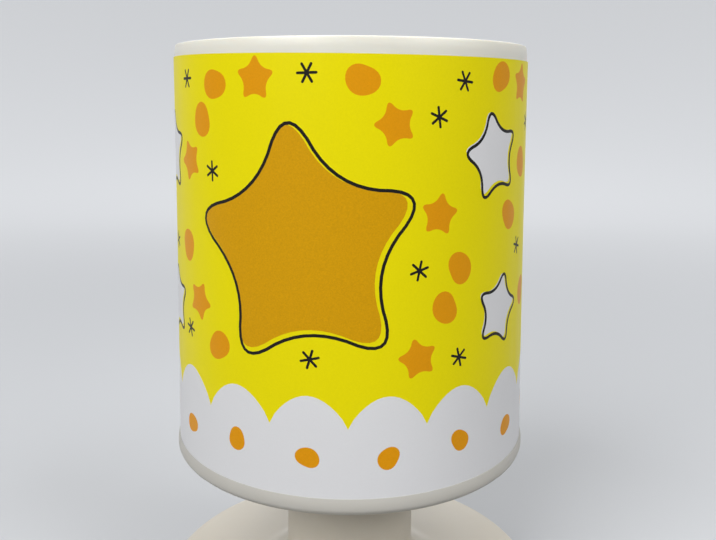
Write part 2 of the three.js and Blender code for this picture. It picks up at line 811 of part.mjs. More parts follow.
const capInner = holderRadius - holderWall;
const capShoulder = blockRadius - holderWall + fitGap;
const holderCap = turned([
  [nippleRadius + fitGap, dishTop],
  [holderFootRadius, dishTop],
  [holderRadius - holderWall / 2, dishTop + capFlareStart],
  [holderRadius, dishTop + capFlareEnd],
  [holderRadius, capTop],
  [capInner, capTop],
  [capInner, blockBottom],
  [capShoulder, blockBottom],
  [capShoulder, dishTop + capFlareEnd],
  [holderFootRadius - holderWall, dishTop + capFloor],
  [nippleRadius + fitGap, dishTop + capFloor],
]);
addPiece('holder_cap', holderCap, finishes.holder);

const contactBlock = cut(
  pin(blockRadius, blockBottom, blockTop, mediumSteps),
  ...[-leadHolePlace, leadHolePlace].map((x) =>
    pin(leadRadius + leadClearance, blockBottom - overrun, blockBottom + leadHoleDepth).translate(x, 0, 0)),
  ...[-holderScrewPlace, holderScrewPlace].map((x) =>
    pin(holderScrewShank + fitGap, blockBottom - overrun, blockBottom + holderScrewLength + fitGap)
      .translate(x, 0, 0)),
);
addPiece('holder_contact_block', contactBlock, finishes.ceramic);

const screwShell = turned([
  [shellBottomHole, blockTop],
  [shellRadius, blockTop],
  [shellRadius, blockTop + shellLength],
  [shellRadius - shellWall, blockTop + shellLength],
  [shellRadius - shellWall, blockTop + shellWall],
  [shellBottomHole, blockTop + shellWall],
], mediumSteps);
addPiece('holder_screw_shell', screwShell, finishes.brass);

// Spring tongue: a bent strip along X, written as shares of its half length and of its rise above the block.
function centreContact() {
  const bendShares = [[-1, 0], [-0.45, 0], [0.3, 1], [0.78, 0.62]];
  const lift = tongueRise - fitGap - tongueThickness;
  const under = bendShares.map(([along, up]) => [along * tongueHalfLength, up * lift]);
  const over = under.map(([x, z]) => [x, z + tongueThickness]).reverse();
  const outline = new THREE.Shape([...under, ...over].map(([x, z]) => new THREE.Vector2(x, z)));
  return extruded(outline, -tongueWidth / 2, tongueWidth / 2).rotateX(Math.PI / 2);
}
addPiece('holder_centre_contact', centreContact(), finishes.brass).position.set(0, 0, blockTop);

const barrelBottom = capTop + barrelJoint;
const barrelTop = barrelBottom + barrelHeight;
const holderBarrel = turned([
  [capInner, barrelBottom],
  [holderRadius, barrelBottom],
  ...arc(holderRadius - barrelEdgeRound, barrelTop - barrelEdgeRound, barrelEdgeRound, 0, 90, 3),
  [barrelMouth, barrelTop],
  [barrelMouth, blockTop + fitGap],
  [capInner, blockTop + fitGap],
]);
addPiece('holder_barrel', holderBarrel, finishes.holder);

[-holderScrewPlace, holderScrewPlace].forEach((x, i) => {
  const screw = panScrew(holderScrewHead, holderScrewHeadDepth, holderScrewShank, holderScrewLength);
  addPiece(`holder_terminal_screw_${i + 1}`, screw, finishes.steel).position.set(x, 0, blockBottom);
});

// Bulb, from its tip contact up

const insulatorBottom = bulbTip + bulbTipHeight;
const bulbCapBottom = insulatorBottom + bulbInsulatorHeight;
const bulbCapTop = bulbCapBottom + bulbCapHeight;
const collarTop = bulbCapTop + bulbCollarHeight;
const globeCentre = bulbTip + bulbLength - bulbRadius;

addPiece('bulb_tip_contact', pin(bulbTipRadius, bulbTip, insulatorBottom), finishes.brass);
const insulator = turned([
  [0, insulatorBottom],
  [bulbTipRadius + bulbCapBevel, insulatorBottom],
  [bulbInsulatorTop, bulbCapBottom],
  [0, bulbCapBottom],
], smallSteps);
addPiece('bulb_insulator', insulator, finishes.black);
const bulbCap = turned([
  [0, bulbCapBottom],
  [bulbCapRadius - bulbCapBevel, bulbCapBottom],
  [bulbCapRadius, bulbCapBottom + bulbCapBevel],
  [bulbCapRadius, bulbCapTop],
  [0, bulbCapTop],
], smallSteps);
addPiece('bulb_cap', bulbCap, finishes.steel);

function bulbCollar() {
  const flareShares = [[0.3, 0.16], [0.62, 0.42], [0.86, 0.72]];
  const flare = flareShares.map(([out, up]) => [
    bulbCollarFoot + (bulbCollarTop - bulbCollarFoot) * out,
    bulbCapTop + bulbCollarHeight * up,
  ]);
  return turned([
    [0, bulbCapTop],
    [bulbCollarFoot, bulbCapTop],
    [bulbCollarFoot, bulbCapTop + bulbCollarLip],
    ...flare,
    [bulbCollarTop, collarTop],
    [0, collarTop],
  ]);
}
addPiece('bulb_collar', bulbCollar(), finishes.white);

// The globe is a ball cut flat where it meets the collar.
function bulbGlobe() {
  const start = THREE.MathUtils.radToDeg(Math.asin((collarTop - globeCentre) / bulbRadius));
  return turned([[0, collarTop], ...arc(0, globeCentre, bulbRadius, start, 90, 8).slice(0, -1),
    [0, globeCentre + bulbRadius]]);
}
addPiece('bulb_globe', bulbGlobe(), finishes.opal);

// Shade tube and printed sleeve

const ringShares = [0, 0.5, 1];

function shadeTube() {
  const outer = tubeRadius(shadeTop);
  const inner = outer - shadeWall;
  return turned([
    ...ringShares.map((share) => {
      const height = shadeBottom + (sleeveTop - shadeBottom) * share;
      return [tubeRadius(height), height];
    }),
    ...arc(outer - shadeEdgeRound, shadeTop - shadeEdgeRound, shadeEdgeRound, 0, 90, 3),
    [inner + shadeInnerRound / 2, shadeTop],
    [inner, shadeTop - shadeInnerRound],
    [tubeRadius(sleeveBottom) - shadeWall, sleeveBottom + sleeveInset],
    [tubeRadius(sleeveBottom) - shadeWall + shadeInnerRound, shadeBottom],
  ], shadeSteps);
}

function printSleeve() {
  const heights = ringShares.map((share) => sleeveBottom + sleeveHeight * share);
  const wrap = turned([
    ...heights.map((height) => [sleeveRadius(height), height]),
    ...heights.map((height) => [sleeveRadius(height) - sleeveThickness, height]).reverse(),
  ], shadeSteps);
  const seam = block(sleeveSeam, sleeveBottomRadius, sleeveBottom - overrun, sleeveTop + overrun)
    .translate(0, sleeveBottomRadius, 0);
  return cut(wrap, seam);
}

addPiece('shade_tube', shadeTube(), finishes.shadeWhite);
addPiece('print_sleeve', printSleeve(), finishes.print);

// Internal leads, round tubes along smooth routes

function lead(points) {
  const stops = points.map((point) => new THREE.Vector3(...point));
  const route = new THREE.CatmullRomCurve3(stops, false, 'centripetal');
  const section = new THREE.Shape(
    evenAngles(leadSides).map((angle) => new THREE.Vector2(...onCircle(leadRadius, angle))),
  );
  return new THREE.ExtrudeGeometry(section, { steps: leadSteps, bevelEnabled: false, extrudePath: route });
}

// The stretch that both holder leads share: up the neck, through the nipple and into the contact block.
function neckRoute(side) {
  const x = side * leadSpread;
  const hole = side * leadHolePlace;
  return [
    [x, 0, footTop + leadBend],
    [x, 0, (footTop + neckTop) / 2],
    [x, 0, nippleBottom],
    [x, 0, dishTop + nippleAbove],
    [hole, 0, blockBottom - 2 * leadRadius],
    [hole, 0, blockBottom + leadHoleDepth - fitGap],
  ];
}

const leadFloor = (weightTop + footCeiling - ribDepth) / 2;
const terminalMouth = -terminalLength / 2;
const tabEdge = -switchDistance + tabSpread + tabWidth / 2 + fitGap;
const tabHeight = switchFloor - tabLength / 2;
const farTab = -switchDistance - tabSpread;

// A place given from the middle of the terminal block, outwards along Y.
function fromTerminal(x, y, height) {
  const turn = terminalAngle - Math.PI / 2;
  const [placeX, placeY] = terminalPlace;
  return [
    placeX + x * Math.cos(turn) - y * Math.sin(turn),
    placeY + x * Math.sin(turn) + y * Math.cos(turn),
    height,
  ];
}

const neutralRoute = [
  fromTerminal(poles[1], terminalMouth + leadInTerminal, terminalAxis),
  fromTerminal(poles[1], terminalMouth - leadBend / 2, terminalAxis),
  [terminalPlace[0] / 2, terminalPlace[1] / 2, leadFloor],
  [-leadSpread, leadBend / 2, leadFloor + leadBend],
  ...neckRoute(-1),
];
const feedRoute = [
  fromTerminal(poles[0], terminalMouth + leadInTerminal, terminalAxis),
  fromTerminal(poles[0], terminalMouth - leadBend / 2, terminalAxis),
  [leadBend / 2 - weightRadius, 0, leadFloor],
  [-leadBend, tabEdge + leadBend, leadFloor],
  [-leadBend / 3, tabEdge + leadBend / 2, tabHeight + leadRadius / 2],
  [0, tabEdge, tabHeight],
];
const switchedRoute = [
  [tabThickness / 2 + fitGap, farTab, tabHeight],
  [leadBend / 3, farTab, tabHeight],
  [leadBend * 0.75, tabEdge, tabHeight + leadRadius],
  [leadBend * 0.75, tabEdge + leadBend, leadFloor],
  [leadBend / 3, -neckRadius / 2, leadFloor + leadRadius],
  [leadSpread, -leadBend / 2, leadFloor + leadBend],
  ...neckRoute(1),
];
addPiece('lead_neutral', lead(neutralRoute), finishes.blueLead);
addPiece('lead_feed', lead(feedRoute), finishes.brownLead);
addPiece('lead_switched', lead(switchedRoute), finishes.brownLead);

export default lamp;
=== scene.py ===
import math

import bmesh
import bpy
from mathutils import Matrix, Vector
from mathutils.geometry import delaunay_2d_cdt


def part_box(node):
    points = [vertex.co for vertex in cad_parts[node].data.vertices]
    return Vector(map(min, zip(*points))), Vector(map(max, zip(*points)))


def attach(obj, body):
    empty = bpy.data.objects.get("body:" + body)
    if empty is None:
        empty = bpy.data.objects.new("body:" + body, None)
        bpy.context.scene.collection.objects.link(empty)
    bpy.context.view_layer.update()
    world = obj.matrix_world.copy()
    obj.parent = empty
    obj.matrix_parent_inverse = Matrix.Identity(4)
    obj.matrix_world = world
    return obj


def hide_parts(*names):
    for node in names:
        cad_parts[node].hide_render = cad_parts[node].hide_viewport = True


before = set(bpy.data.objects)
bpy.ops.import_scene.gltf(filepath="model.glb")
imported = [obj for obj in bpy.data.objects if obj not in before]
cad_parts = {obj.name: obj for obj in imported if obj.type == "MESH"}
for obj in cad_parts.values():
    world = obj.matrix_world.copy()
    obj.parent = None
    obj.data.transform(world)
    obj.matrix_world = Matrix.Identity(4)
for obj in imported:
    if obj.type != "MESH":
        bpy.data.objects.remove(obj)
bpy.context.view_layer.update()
scene = bpy.context.scene

# Camera
# It stands about 26 cm in front of the lamp, a little above the shade's middle, and looks slightly down.
# Its place was worked out from the curves of the shade's rims in the photograph.
sensor_width = 36.0
camera_lens = 39.14
camera_side = 0.0026
camera_distance = 0.2651
camera_over_dish = 0.1192
camera_pitch = 0.219
camera_roll = 0.005

camera_data = bpy.data.cameras.new("photo_camera")
camera_data.sensor_width = sensor_width
camera_data.lens = camera_lens
camera_data.clip_start = 0.01
camera = bpy.data.objects.new("photo_camera", camera_data)
scene.collection.objects.link(camera)
dish_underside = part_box("gallery_dish")[0].z
camera.location = (camera_side, -camera_distance, dish_underside + camera_over_dish)
camera_turn = Matrix.Rotation(math.pi / 2 - camera_pitch, 3, "X") @ Matrix.Rotation(camera_roll, 3, "Z")
camera.rotation_euler = camera_turn.to_euler()
scene.camera = camera

# Studio
# A pale paper floor that curves up into a wall all round, one large soft lamp from the upper left, a
# weaker one from the upper right, soft ones above and low behind, and a faint white world. Far from
# the lamp the paper glows, for the eye and in reflections alone, so that it is as pale there as near it.
sweep_radius = 1.9
sweep_bend = 0.9
sweep_height = 2.4
sweep_margin = 0.02
sweep_bend_steps = 24
sweep_sides = 96
sweep_grey = (0.58, 0.595, 0.62, 1.0)
bounce_grey = (0.15, 0.153, 0.156, 1.0)
far_glow = (0.34, 0.348, 0.36, 1.0)
glow_reach = (0.3, 1.3)
world_strength = 0.085
# Each lamp: its place, the length of its square side, and its power in watts.
studio_lamps = {
    "key_light": ((-0.62, -0.80, 1.02), 0.9, 18.1),
    "fill_light": ((0.85, -0.55, 1.05), 0.9, 11.3),
    "top_light": ((0.05, 0.10, 1.35), 0.9, 5.7),
    "back_light": ((0.0, 2.30, 0.55), 0.9, 12.5),
}
lamp_aim = Vector((0.0, 0.0, 0.11))


def link_mesh(name, body):
    """A bmesh as a named object in the scene, with its faces turned outwards."""
    bmesh.ops.recalc_face_normals(body, faces=body.faces)
    mesh = bpy.data.meshes.new(name)
    body.to_mesh(mesh)
    body.free()
    made = bpy.data.objects.new(name, mesh)
    scene.collection.objects.link(made)
    return made


def even_angles(count, start=0.0):
    return [start + 2 * math.pi * number / count for number in range(count)]


def on_circle(radius, angle):
    return (radius * math.cos(angle), radius * math.sin(angle))


def bridge(body, rings):
    """Four-cornered faces between closed rings of corners, each ring joined to the next."""
    faces = []
    for one, other in zip(rings, rings[1:]):
        for step in range(len(one)):
            after = (step + 1) % len(one)
            faces.append(body.faces.new((one[step], one[after], other[after], other[step])))
    return faces


def paper_sweep():
    """The floor and the wall that it curves up into, turned round the lamp. The wall has the second slot."""
    floor_radius = sweep_radius - sweep_bend
    line = [(floor_radius - sweep_margin, 0.0), (floor_radius, 0.0)]
    for step in range(1, sweep_bend_steps + 1):
        angle = math.pi / 2 * step / sweep_bend_steps
        line.append((floor_radius + sweep_bend * math.sin(angle), sweep_bend * (1 - math.cos(angle))))
    line.append((sweep_radius, sweep_height))
    body = bmesh.new()
    rings = [[body.verts.new((*on_circle(radius, angle), height)) for angle in even_angles(sweep_sides)]
             for radius, height in line]
    body.faces.new(rings[0])
    for face in bridge(body, rings)[sweep_sides:]:
        face.material_index = 1
    made = link_mesh("paper_sweep", body)
    made.data.shade_smooth()
    if made.data.polygons[0].normal.z < 0:
        made.data.flip_normals()
    return made


def fill(tree, node, inputs):
    """Gives a node's inputs their values, or ties them to the outputs of other nodes."""
    for label, value in inputs.items():
        if isinstance(value, bpy.types.NodeSocket):
            tree.links.new(value, node.inputs[label])
        else:
            node.inputs[label].default_value = value


def add_node(tree, kind, inputs=None, **settings):
    node = tree.nodes.new("ShaderNode" + kind)
    for name, value in settings.items():
        setattr(node, name, value)
    fill(tree, node, inputs or {})
    return node


def sweep_paper(name, is_wall):
    """Pale paper that evens out its own tone to the eye and in reflections. Its wall lets other light by."""
    material = bpy.data.materials.new(name)
    material.use_nodes = True
    tree = material.node_tree
    shader = tree.nodes["Principled BSDF"]

    def joined(operation, one, other):
        return add_node(tree, "Math", {0: one, 1: other}, operation=operation).outputs["Value"]

    def chosen(factor, without, full):
        """A mix of two colours: a Mix node's colours are its sockets 6 and 7, and its third output."""
        return add_node(tree, "Mix", {"Factor": factor, 6: without, 7: full}, data_type="RGBA").outputs[2]

    path = add_node(tree, "LightPath").outputs
    mirrored = joined("MAXIMUM", path["Is Glossy Ray"], path["Is Transmission Ray"])
    seen = joined("MAXIMUM", path["Is Camera Ray"], mirrored)
    place = add_node(tree, "TexCoord").outputs["Object"]
    reach = add_node(tree, "VectorMath", {0: place}, operation="LENGTH").outputs["Value"]
    ends = {"Value": reach, "From Min": glow_reach[0], "From Max": glow_reach[1]}
    far = add_node(tree, "MapRange", ends, interpolation_type="SMOOTHSTEP").outputs["Result"]
    glow = chosen(joined("MULTIPLY", far, seen), (0.0, 0.0, 0.0, 1.0), far_glow)
    fill(tree, shader, {"Roughness": 0.9, "Specular IOR Level": 0.15, "Emission Strength": 1.0,
                        "Emission Color": glow})
    if is_wall:
        fill(tree, shader, {"Base Color": sweep_grey})
        clear = add_node(tree, "BsdfTransparent").outputs["BSDF"]
        choice = add_node(tree, "MixShader", {"Fac": seen, 1: clear, 2: shader.outputs["BSDF"]})
        fill(tree, tree.nodes["Material Output"], {"Surface": choice.outputs["Shader"]})
    else:
        fill(tree, shader, {"Base Color": chosen(seen, bounce_grey, sweep_grey)})
    return material


sweep = paper_sweep()
sweep.data.materials.append(sweep_paper("floor_paper", False))
sweep.data.materials.append(sweep_paper("wall_paper", True))

world = bpy.data.worlds.new("studio_world")
scene.world = world
world.use_nodes = True
fill(world.node_tree, world.node_tree.nodes["Background"],
     {"Color": (1.0, 1.0, 1.0, 1.0), "Strength": world_strength})

for lamp_name, (place, side, watts) in studio_lamps.items():
    lamp_data = bpy.data.lights.new(lamp_name, "AREA")
    lamp_data.shape = "SQUARE"
    lamp_data.size = side
    lamp_data.energy = watts
    lamp = bpy.data.objects.new(lamp_name, lamp_data)
    lamp.location = place
    lamp.rotation_euler = (lamp_aim - Vector(place)).to_track_quat("-Z", "Y").to_euler()
    scene.collection.objects.link(lamp)

scene.view_settings.view_transform = "Standard"

# Foot and neck
# One hollow injection moulding in ivory plastic: a round foot with a soft top edge, a wide fillet and a
# straight neck closed by a deck. Ribs, screw bosses and posts stiffen it inside; two pegs key the dish.
foot_low, foot_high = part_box("foot_shell")
cover_low, cover_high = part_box("foot_cover")
foot_radius = foot_high.x
foot_top = 0.020
foot_edge_round = 0.003
foot_wall = 0.0025
foot_rim_round = 0.0005
foot_inner = foot_radius - foot_wall
foot_ceiling = foot_top - foot_wall
rooted = foot_ceiling + foot_wall / 2
neck_radius = 0.023
neck_fillet = 0.015
neck_edge_round = 0.0006
neck_rib_reach = 0.0024
deck_thickness = 0.0025
nipple_hole = 0.0053
deck_top = dish_underside
foot_steps = 240
rib_half = 0.00075
rib_depth = 0.004
boss_circle = 0.056
boss_radius = 0.004
boss_hole = 0.0017
boss_hole_top = 0.0125
gusset_depth = 0.0085
screw_hole = 0.0014
clamp_spread = 0.008
clamp_distance = 0.057
clamp_post_radius = 0.0032
clamp_post_low = 0.0084
clamp_hole_top = 0.0149
saddle_half = 0.004
terminal_angle = math.radians(117)
terminal_circle = 0.052
terminal_post_radius = 0.003
terminal_top = 0.0132
terminal_hole_top = 0.0165
key_peg_place = 0.014
key_peg_radius = 0.0015
key_peg_height = 0.0015
inlet_radius = 0.0043
panel_half_width = 0.0048
panel_half_length = 0.00745
overrun = 0.002
finishes = {}


def arc(centre_radius, centre_height, radius, start, end, steps):
    """Points of an arc in a profile, from one angle to another in degrees, 0 outwards and 90 up."""
    angles = [math.radians(start + (end - start) * step / steps) for step in range(steps + 1)]
    return [(centre_radius + radius * math.cos(a), centre_height + radius * math.sin(a)) for a in angles]


def shift(x=0.0, y=0.0, z=0.0):
    return Matrix.Translation((x, y, z))


def spin(angle, axis="Z"):
    return Matrix.Rotation(angle, 4, axis)


def moved(piece, change):
    piece.data.transform(change)
    return piece


def turned(name, profile, steps=64):
    """A profile of (radius, height) points turned round Z, closed on the axis or on itself."""
    body = bmesh.new()
    rings = []
    for radius, height in profile:
        if radius < 1e-7:
            rings.append([body.verts.new((0.0, 0.0, height))])
            continue
        angles = even_angles(steps)
        rings.append([body.verts.new((radius * math.sin(a), -radius * math.cos(a), height)) for a in angles])
    pairs = list(zip(rings, rings[1:]))
    if len(rings[0]) > 1 or len(rings[-1]) > 1:
        pairs.append((rings[-1], rings[0]))
    for one, other in pairs:
        for step in range(steps):
            after = (step + 1) % steps
            corners = [one[step % len(one)], one[after % len(one)],
                       other[after % len(other)], other[step % len(other)]]
            corners = list(dict.fromkeys(corners))
            if len(corners) > 2:
                body.faces.new(corners)
    return link_mesh(name, body)


def edged(radius, low, high, edge):
    """The profile of a round bar with both edges broken."""
    return [(0.0, low), (radius - edge, low), (radius, low + edge),
            (radius, high - edge), (radius - edge, high), (0.0, high)]


def pin(name, radius, low, high, place=(0.0, 0.0), steps=32):
    """A round pin along Z over one place."""
    return moved(turned(name, [(0.0, low), (radius, low), (radius, high), (0.0, high)], steps), shift(*place))


def bar(name, low, high, angle=0.0):
    """A straight bar between two corners, then turned round the axis."""
    body = bmesh.new()
    low, high = Vector(low), Vector(high)
    bmesh.ops.create_cube(body, size=1.0)
    bmesh.ops.scale(body, vec=high - low, verts=body.verts)
    bmesh.ops.translate(body, vec=(low + high) / 2, verts=body.verts)
    return moved(link_mesh(name, body), spin(angle))


def applied(piece):
    """Bakes a piece's modifiers into its mesh."""
    bpy.context.view_layer.update()
    made = bpy.data.meshes.new_from_object(piece.evaluated_get(bpy.context.evaluated_depsgraph_get()))
    piece.modifiers.clear()
    old = piece.data
    piece.data = made
    bpy.data.meshes.remove(old)
    made.name = piece.name
    return piece


def combine(piece, others, operation="DIFFERENCE"):
    """Cuts the others out of a piece, or joins them to it, and removes them."""
    for other in others:
        change = piece.modifiers.new("combine", "BOOLEAN")
        change.operation = operation
        change.solver = "EXACT"
        change.object = other
    applied(piece)
    for other in others:
        bpy.data.objects.remove(other)
    return piece


def surface_group(name, inputs):
    """A shader node group with named inputs, the three outputs of a skin, its place and its two end nodes."""
    group = bpy.data.node_groups.new(name, "ShaderNodeTree")
    for label, value in inputs.items():
        kind = "NodeSocketColor" if isinstance(value, tuple) else "NodeSocketFloat"
        group.interface.new_socket(name=label, in_out="INPUT", socket_type=kind).default_value = value
    for label, kind in (("Colour", "Color"), ("Roughness", "Float"), ("Height", "Float")):
        group.interface.new_socket(name=label, in_out="OUTPUT", socket_type="NodeSocket" + kind)
    place = add_node(group, "TexCoord").outputs["Object"]
    return group, place, group.nodes.new("NodeGroupInput"), group.nodes.new("NodeGroupOutput")


def grain(tree, vector, scale, detail=2.0, roughness=0.5):
    settings = {"Vector": vector, "Scale": scale, "Detail": detail, "Roughness": roughness}
    return add_node(tree, "TexNoise", settings).outputs["Fac"]


def spread(tree, value, low, high):
    """The middle of a 0 to 1 grain stretched between two values or sockets."""
    ends = {"Value": value, "From Min": 0.25, "From Max": 0.75, "To Min": low, "To Max": high}
    return add_node(tree, "MapRange", ends).outputs["Result"]


def finish_group(group, start, end, tone, roughness, height):
    """Ties a colour made lighter or darker by a tone, a roughness and a height to a group's outputs."""
    tint = add_node(group, "VectorMath", {0: start.outputs["Colour"], "Scale": tone}, operation="SCALE")
    fill(group, end, {"Colour": tint.outputs["Vector"], "Roughness": roughness, "Height": height})
    return group


def moulded_skin_group():
    """Injection-moulded plastic: cloudy flow in the colour, uneven gloss and a very fine pebbled skin."""
    group, place, start, end = surface_group("moulded_skin", {
        "Colour": (0.8, 0.8, 0.8, 1.0), "Gloss Low": 0.34, "Gloss High": 0.46, "Pebble Scale": 2600.0})
    flow = grain(group, place, 26.0, 3.0)
    smear = grain(group, place, 90.0, 4.0, 0.6)
    pebble = grain(group, place, start.outputs["Pebble Scale"], 1.0)
    gloss = spread(group, smear, start.outputs["Gloss Low"], start.outputs["Gloss High"])
    return finish_group(group, start, end, spread(group, flow, 0.975, 1.02), gloss, pebble)


def dressed(name, group, values, look, bump_depth, bump_strength=0.35):
    """A finish whose colour, roughness and bump come from a surface group, with the rest of its look."""
    material = bpy.data.materials.new(name)
    material.use_nodes = True
    tree = material.node_tree
    skin = add_node(tree, "Group", values, node_tree=group).outputs
    relief = {"Strength": bump_strength, "Distance": bump_depth, "Height": skin["Height"]}
    normal = add_node(tree, "Bump", relief).outputs["Normal"]
    fill(tree, tree.nodes["Principled BSDF"], {
        "Base Color": skin["Colour"], "Roughness": skin["Roughness"], "Normal": normal, **look})
    finishes[name] = material


moulded_skin = moulded_skin_group()


def plastic(name, colour, gloss=(0.34, 0.46), pebble=2600.0, depth=0.00002, scatter=0.0):
    """Moulded plastic, with light sinking slightly into it where scatter is given."""
    values = {"Colour": (*colour, 1.0), "Gloss Low": gloss[0], "Gloss High": gloss[1], "Pebble Scale": pebble}
    look = {"IOR": 1.49, "Subsurface Weight": scatter, "Subsurface Radius": (1.0, 0.85, 0.65),
            "Subsurface Scale": 0.0015}
    dressed(name, moulded_skin, values, look, depth)


def fit(piece, slot, node, body="base", crisp=32.0, finish=None):
    """Shades a piece, crisp over an angle, gives it its finish and its body, and hides the solid it stands
    for.
    """
    piece.data.shade_smooth()
    piece.data.set_sharp_from_angle(angle=math.radians(crisp))
    piece.data.materials.clear()
    piece.data.materials.append(finishes[finish or slot])
    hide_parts(node)
    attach(piece, body)


plastic("ivory_plastic", (0.65, 0.605, 0.52), scatter=0.12)
cover_top = cover_high.z
terminal_place = on_circle(terminal_circle, terminal_angle)
boss_angles = even_angles(4, math.pi / 4)
switch_low, switch_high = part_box("switch_housing")
switch_y = (switch_low.y + switch_high.y) / 2
bush_low, bush_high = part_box("cable_inlet_bush")
inlet_height = (bush_low.z + bush_high.z) / 2


def foot_moulding():
    fillet = (neck_radius + neck_fillet, foot_top + neck_fillet)
    rim = foot_rim_round
    posts = [(side * clamp_spread, clamp_distance) for side in (-1, 1)]
    bosses = [on_circle(boss_circle, angle) for angle in boss_angles]
    rib_end = foot_inner + foot_wall / 2
    piece = turned("foot_moulding", [
        *arc(foot_radius - rim, foot_low.z + rim, rim, 270, 360, 4),
        *arc(foot_radius - foot_edge_round, foot_top - foot_edge_round, foot_edge_round, 0, 90, 12),
        *arc(*fillet, neck_fillet, 270, 180, 24),
        *arc(neck_radius - neck_edge_round, deck_top - neck_edge_round, neck_edge_round, 0, 90, 5),
        (nipple_hole, deck_top),
        (nipple_hole, deck_top - deck_thickness),
        (neck_radius - foot_wall, deck_top - deck_thickness),
        *arc(*fillet, neck_fillet + foot_wall, 180, 270, 12),
        (foot_inner, foot_ceiling),
        (foot_inner, foot_low.z),
    ], foot_steps)
    added = [bar("rib", (fillet[0], -rib_half, foot_ceiling - rib_depth), (rib_end, rib_half, rooted), angle)
             for angle in even_angles(8, math.pi / 8)]
    added += [bar("neck_rib", (neck_radius - foot_wall - neck_rib_reach, -rib_half, fillet[1]),
                  (neck_radius - foot_wall / 2, rib_half, deck_top - deck_thickness / 2), angle)
              for angle in boss_angles]
    for angle, place in zip(boss_angles, bosses):
        added.append(pin("boss", boss_radius, cover_top, rooted, place))
        added.append(bar("gusset", (boss_circle, -rib_half, foot_ceiling - gusset_depth),
                         (rib_end, rib_half, rooted), angle))
    for side, place in zip((-1, 1), posts):
        added.append(pin("post", clamp_post_radius, clamp_post_low, rooted, place))
        added.append(pin("peg", key_peg_radius, deck_top - deck_thickness / 2, deck_top + key_peg_height,
                         (side * key_peg_place, 0.0)))
    added.append(bar("saddle", (-saddle_half, clamp_distance - rib_half, foot_ceiling - rib_depth),
                     (saddle_half, clamp_distance + rib_half, rooted)))
    added.append(pin("terminal_post", terminal_post_radius, terminal_top, rooted, terminal_place))
    combine(piece, added, "UNION")

    taken = [pin("boss_hole", boss_hole, cover_top - overrun, boss_hole_top, place, 20) for place in bosses]
    taken += [pin("post_hole", screw_hole, clamp_post_low - overrun, clamp_hole_top, place, 20)
              for place in posts]
    taken.append(pin("terminal_hole", screw_hole, terminal_top - overrun, terminal_hole_top,
                     terminal_place, 20))
    taken.append(moved(pin("inlet", inlet_radius, 0.0, 2 * foot_wall + overrun, steps=48),
                       shift(0.0, foot_radius - 2 * foot_wall, inlet_height) @ spin(-math.pi / 2, "X")))
    taken.append(bar("panel", (-panel_half_width, switch_y - panel_half_length, foot_top - 2 * foot_wall),
                     (panel_half_width, switch_y + panel_half_length, foot_top + overrun)))
    return combine(piece, taken)


fit(foot_moulding(), "ivory_plastic", "foot_shell")

# Rocker switch
# A white snap-in switch pushed down through the foot's top face at the front, held between the collar
# round its well and two barbs on its body. Two brass tabs hang below. The rocker turns on two trunnions,
# and its moulded marks are the usual bar for on and ring for off.
collar_half = Vector((0.0057, 0.00835))
collar_corner = 0.0012
collar_round = 0.0004
collar_rooted = 0.0006
well_half = Vector((0.00345, 0.00625))
well_corner = 0.00035
well_depth = 0.0035
well_top = foot_top + 0.005
switch_body_half = well_half + Vector((0.00105, 0.0009))
switch_body_corner = 0.0004
pivot_height = 0.0194
bearing_half = 0.00425
rocker_reach = 0.00595
rocker_half_width = 0.00325
rocker_rim = 0.0021
rocker_crown = 0.0019
rocker_keel = 0.0024
rocker_bevel = 0.00022
rocker_tilt = math.radians(8)
trunnion_radius = 0.0006
trunnion_half = 0.00405
barb_proud = 0.0008
barb_root = 0.00045
barb_height = 0.003
barb_half_width = 0.002
mark_depth = 0.00012
mark_place = 0.0031
bar_mark_half = (0.00027, 0.0011)
bar_mark_corner = 0.00025
ring_mark_radii = (0.00068, 0.00112)
fit_gap = 0.0003


def rounded_outline(half_x, half_y, corner, steps=8):
    """A rectangle with round corners round the origin, as (x, y) points."""
    outline = []
    for number, (side_x, side_y) in enumerate(((1, 1), (-1, 1), (-1, -1), (1, -1))):
        for step in range(steps + 1):
            angle = math.pi / 2 * (number + step / steps)
            outline.append((side_x * (half_x - corner) + corner * math.cos(angle),
                            side_y * (half_y - corner) + corner * math.sin(angle)))
    return outline


def skinned(name, outlines):
    """Closed outlines in space, with as many points each, skinned into a form and closed at both ends."""
    body = bmesh.new()
    rings = [[body.verts.new(point) for point in outline] for outline in outlines]
    body.faces.new(rings[0])
    body.faces.new(rings[-1])
    bridge(body, rings)
    return link_mesh(name, body)


def stacked(name, layers):
    """Flat outlines with as many points each, each at its own height, skinned into a closed form."""
    return skinned(name, [[(x, y, height) for x, y in outline] for height, outline in layers])


def drawn_out(name, outline, *heights):
    """One flat outline drawn out along Z between heights."""
    return stacked(name, [(height, outline) for height in heights])


def bevelled(piece, width, segments=2, angle=40.0):
    """Rounds the edges of a piece that are sharper than an angle in degrees."""
    change = piece.modifiers.new("edges", "BEVEL")
    change.width = width
    change.segments = segments
    change.limit_method = "ANGLE"
    change.angle_limit = math.radians(angle)
    return applied(piece)


# Turns a form drawn in X and Y and drawn out along Z, so that it lies in Y and Z and runs along X.
lie_across = Matrix(((0, 0, 1, 0), (1, 0, 0, 0), (0, 1, 0, 0), (0, 0, 0, 1)))


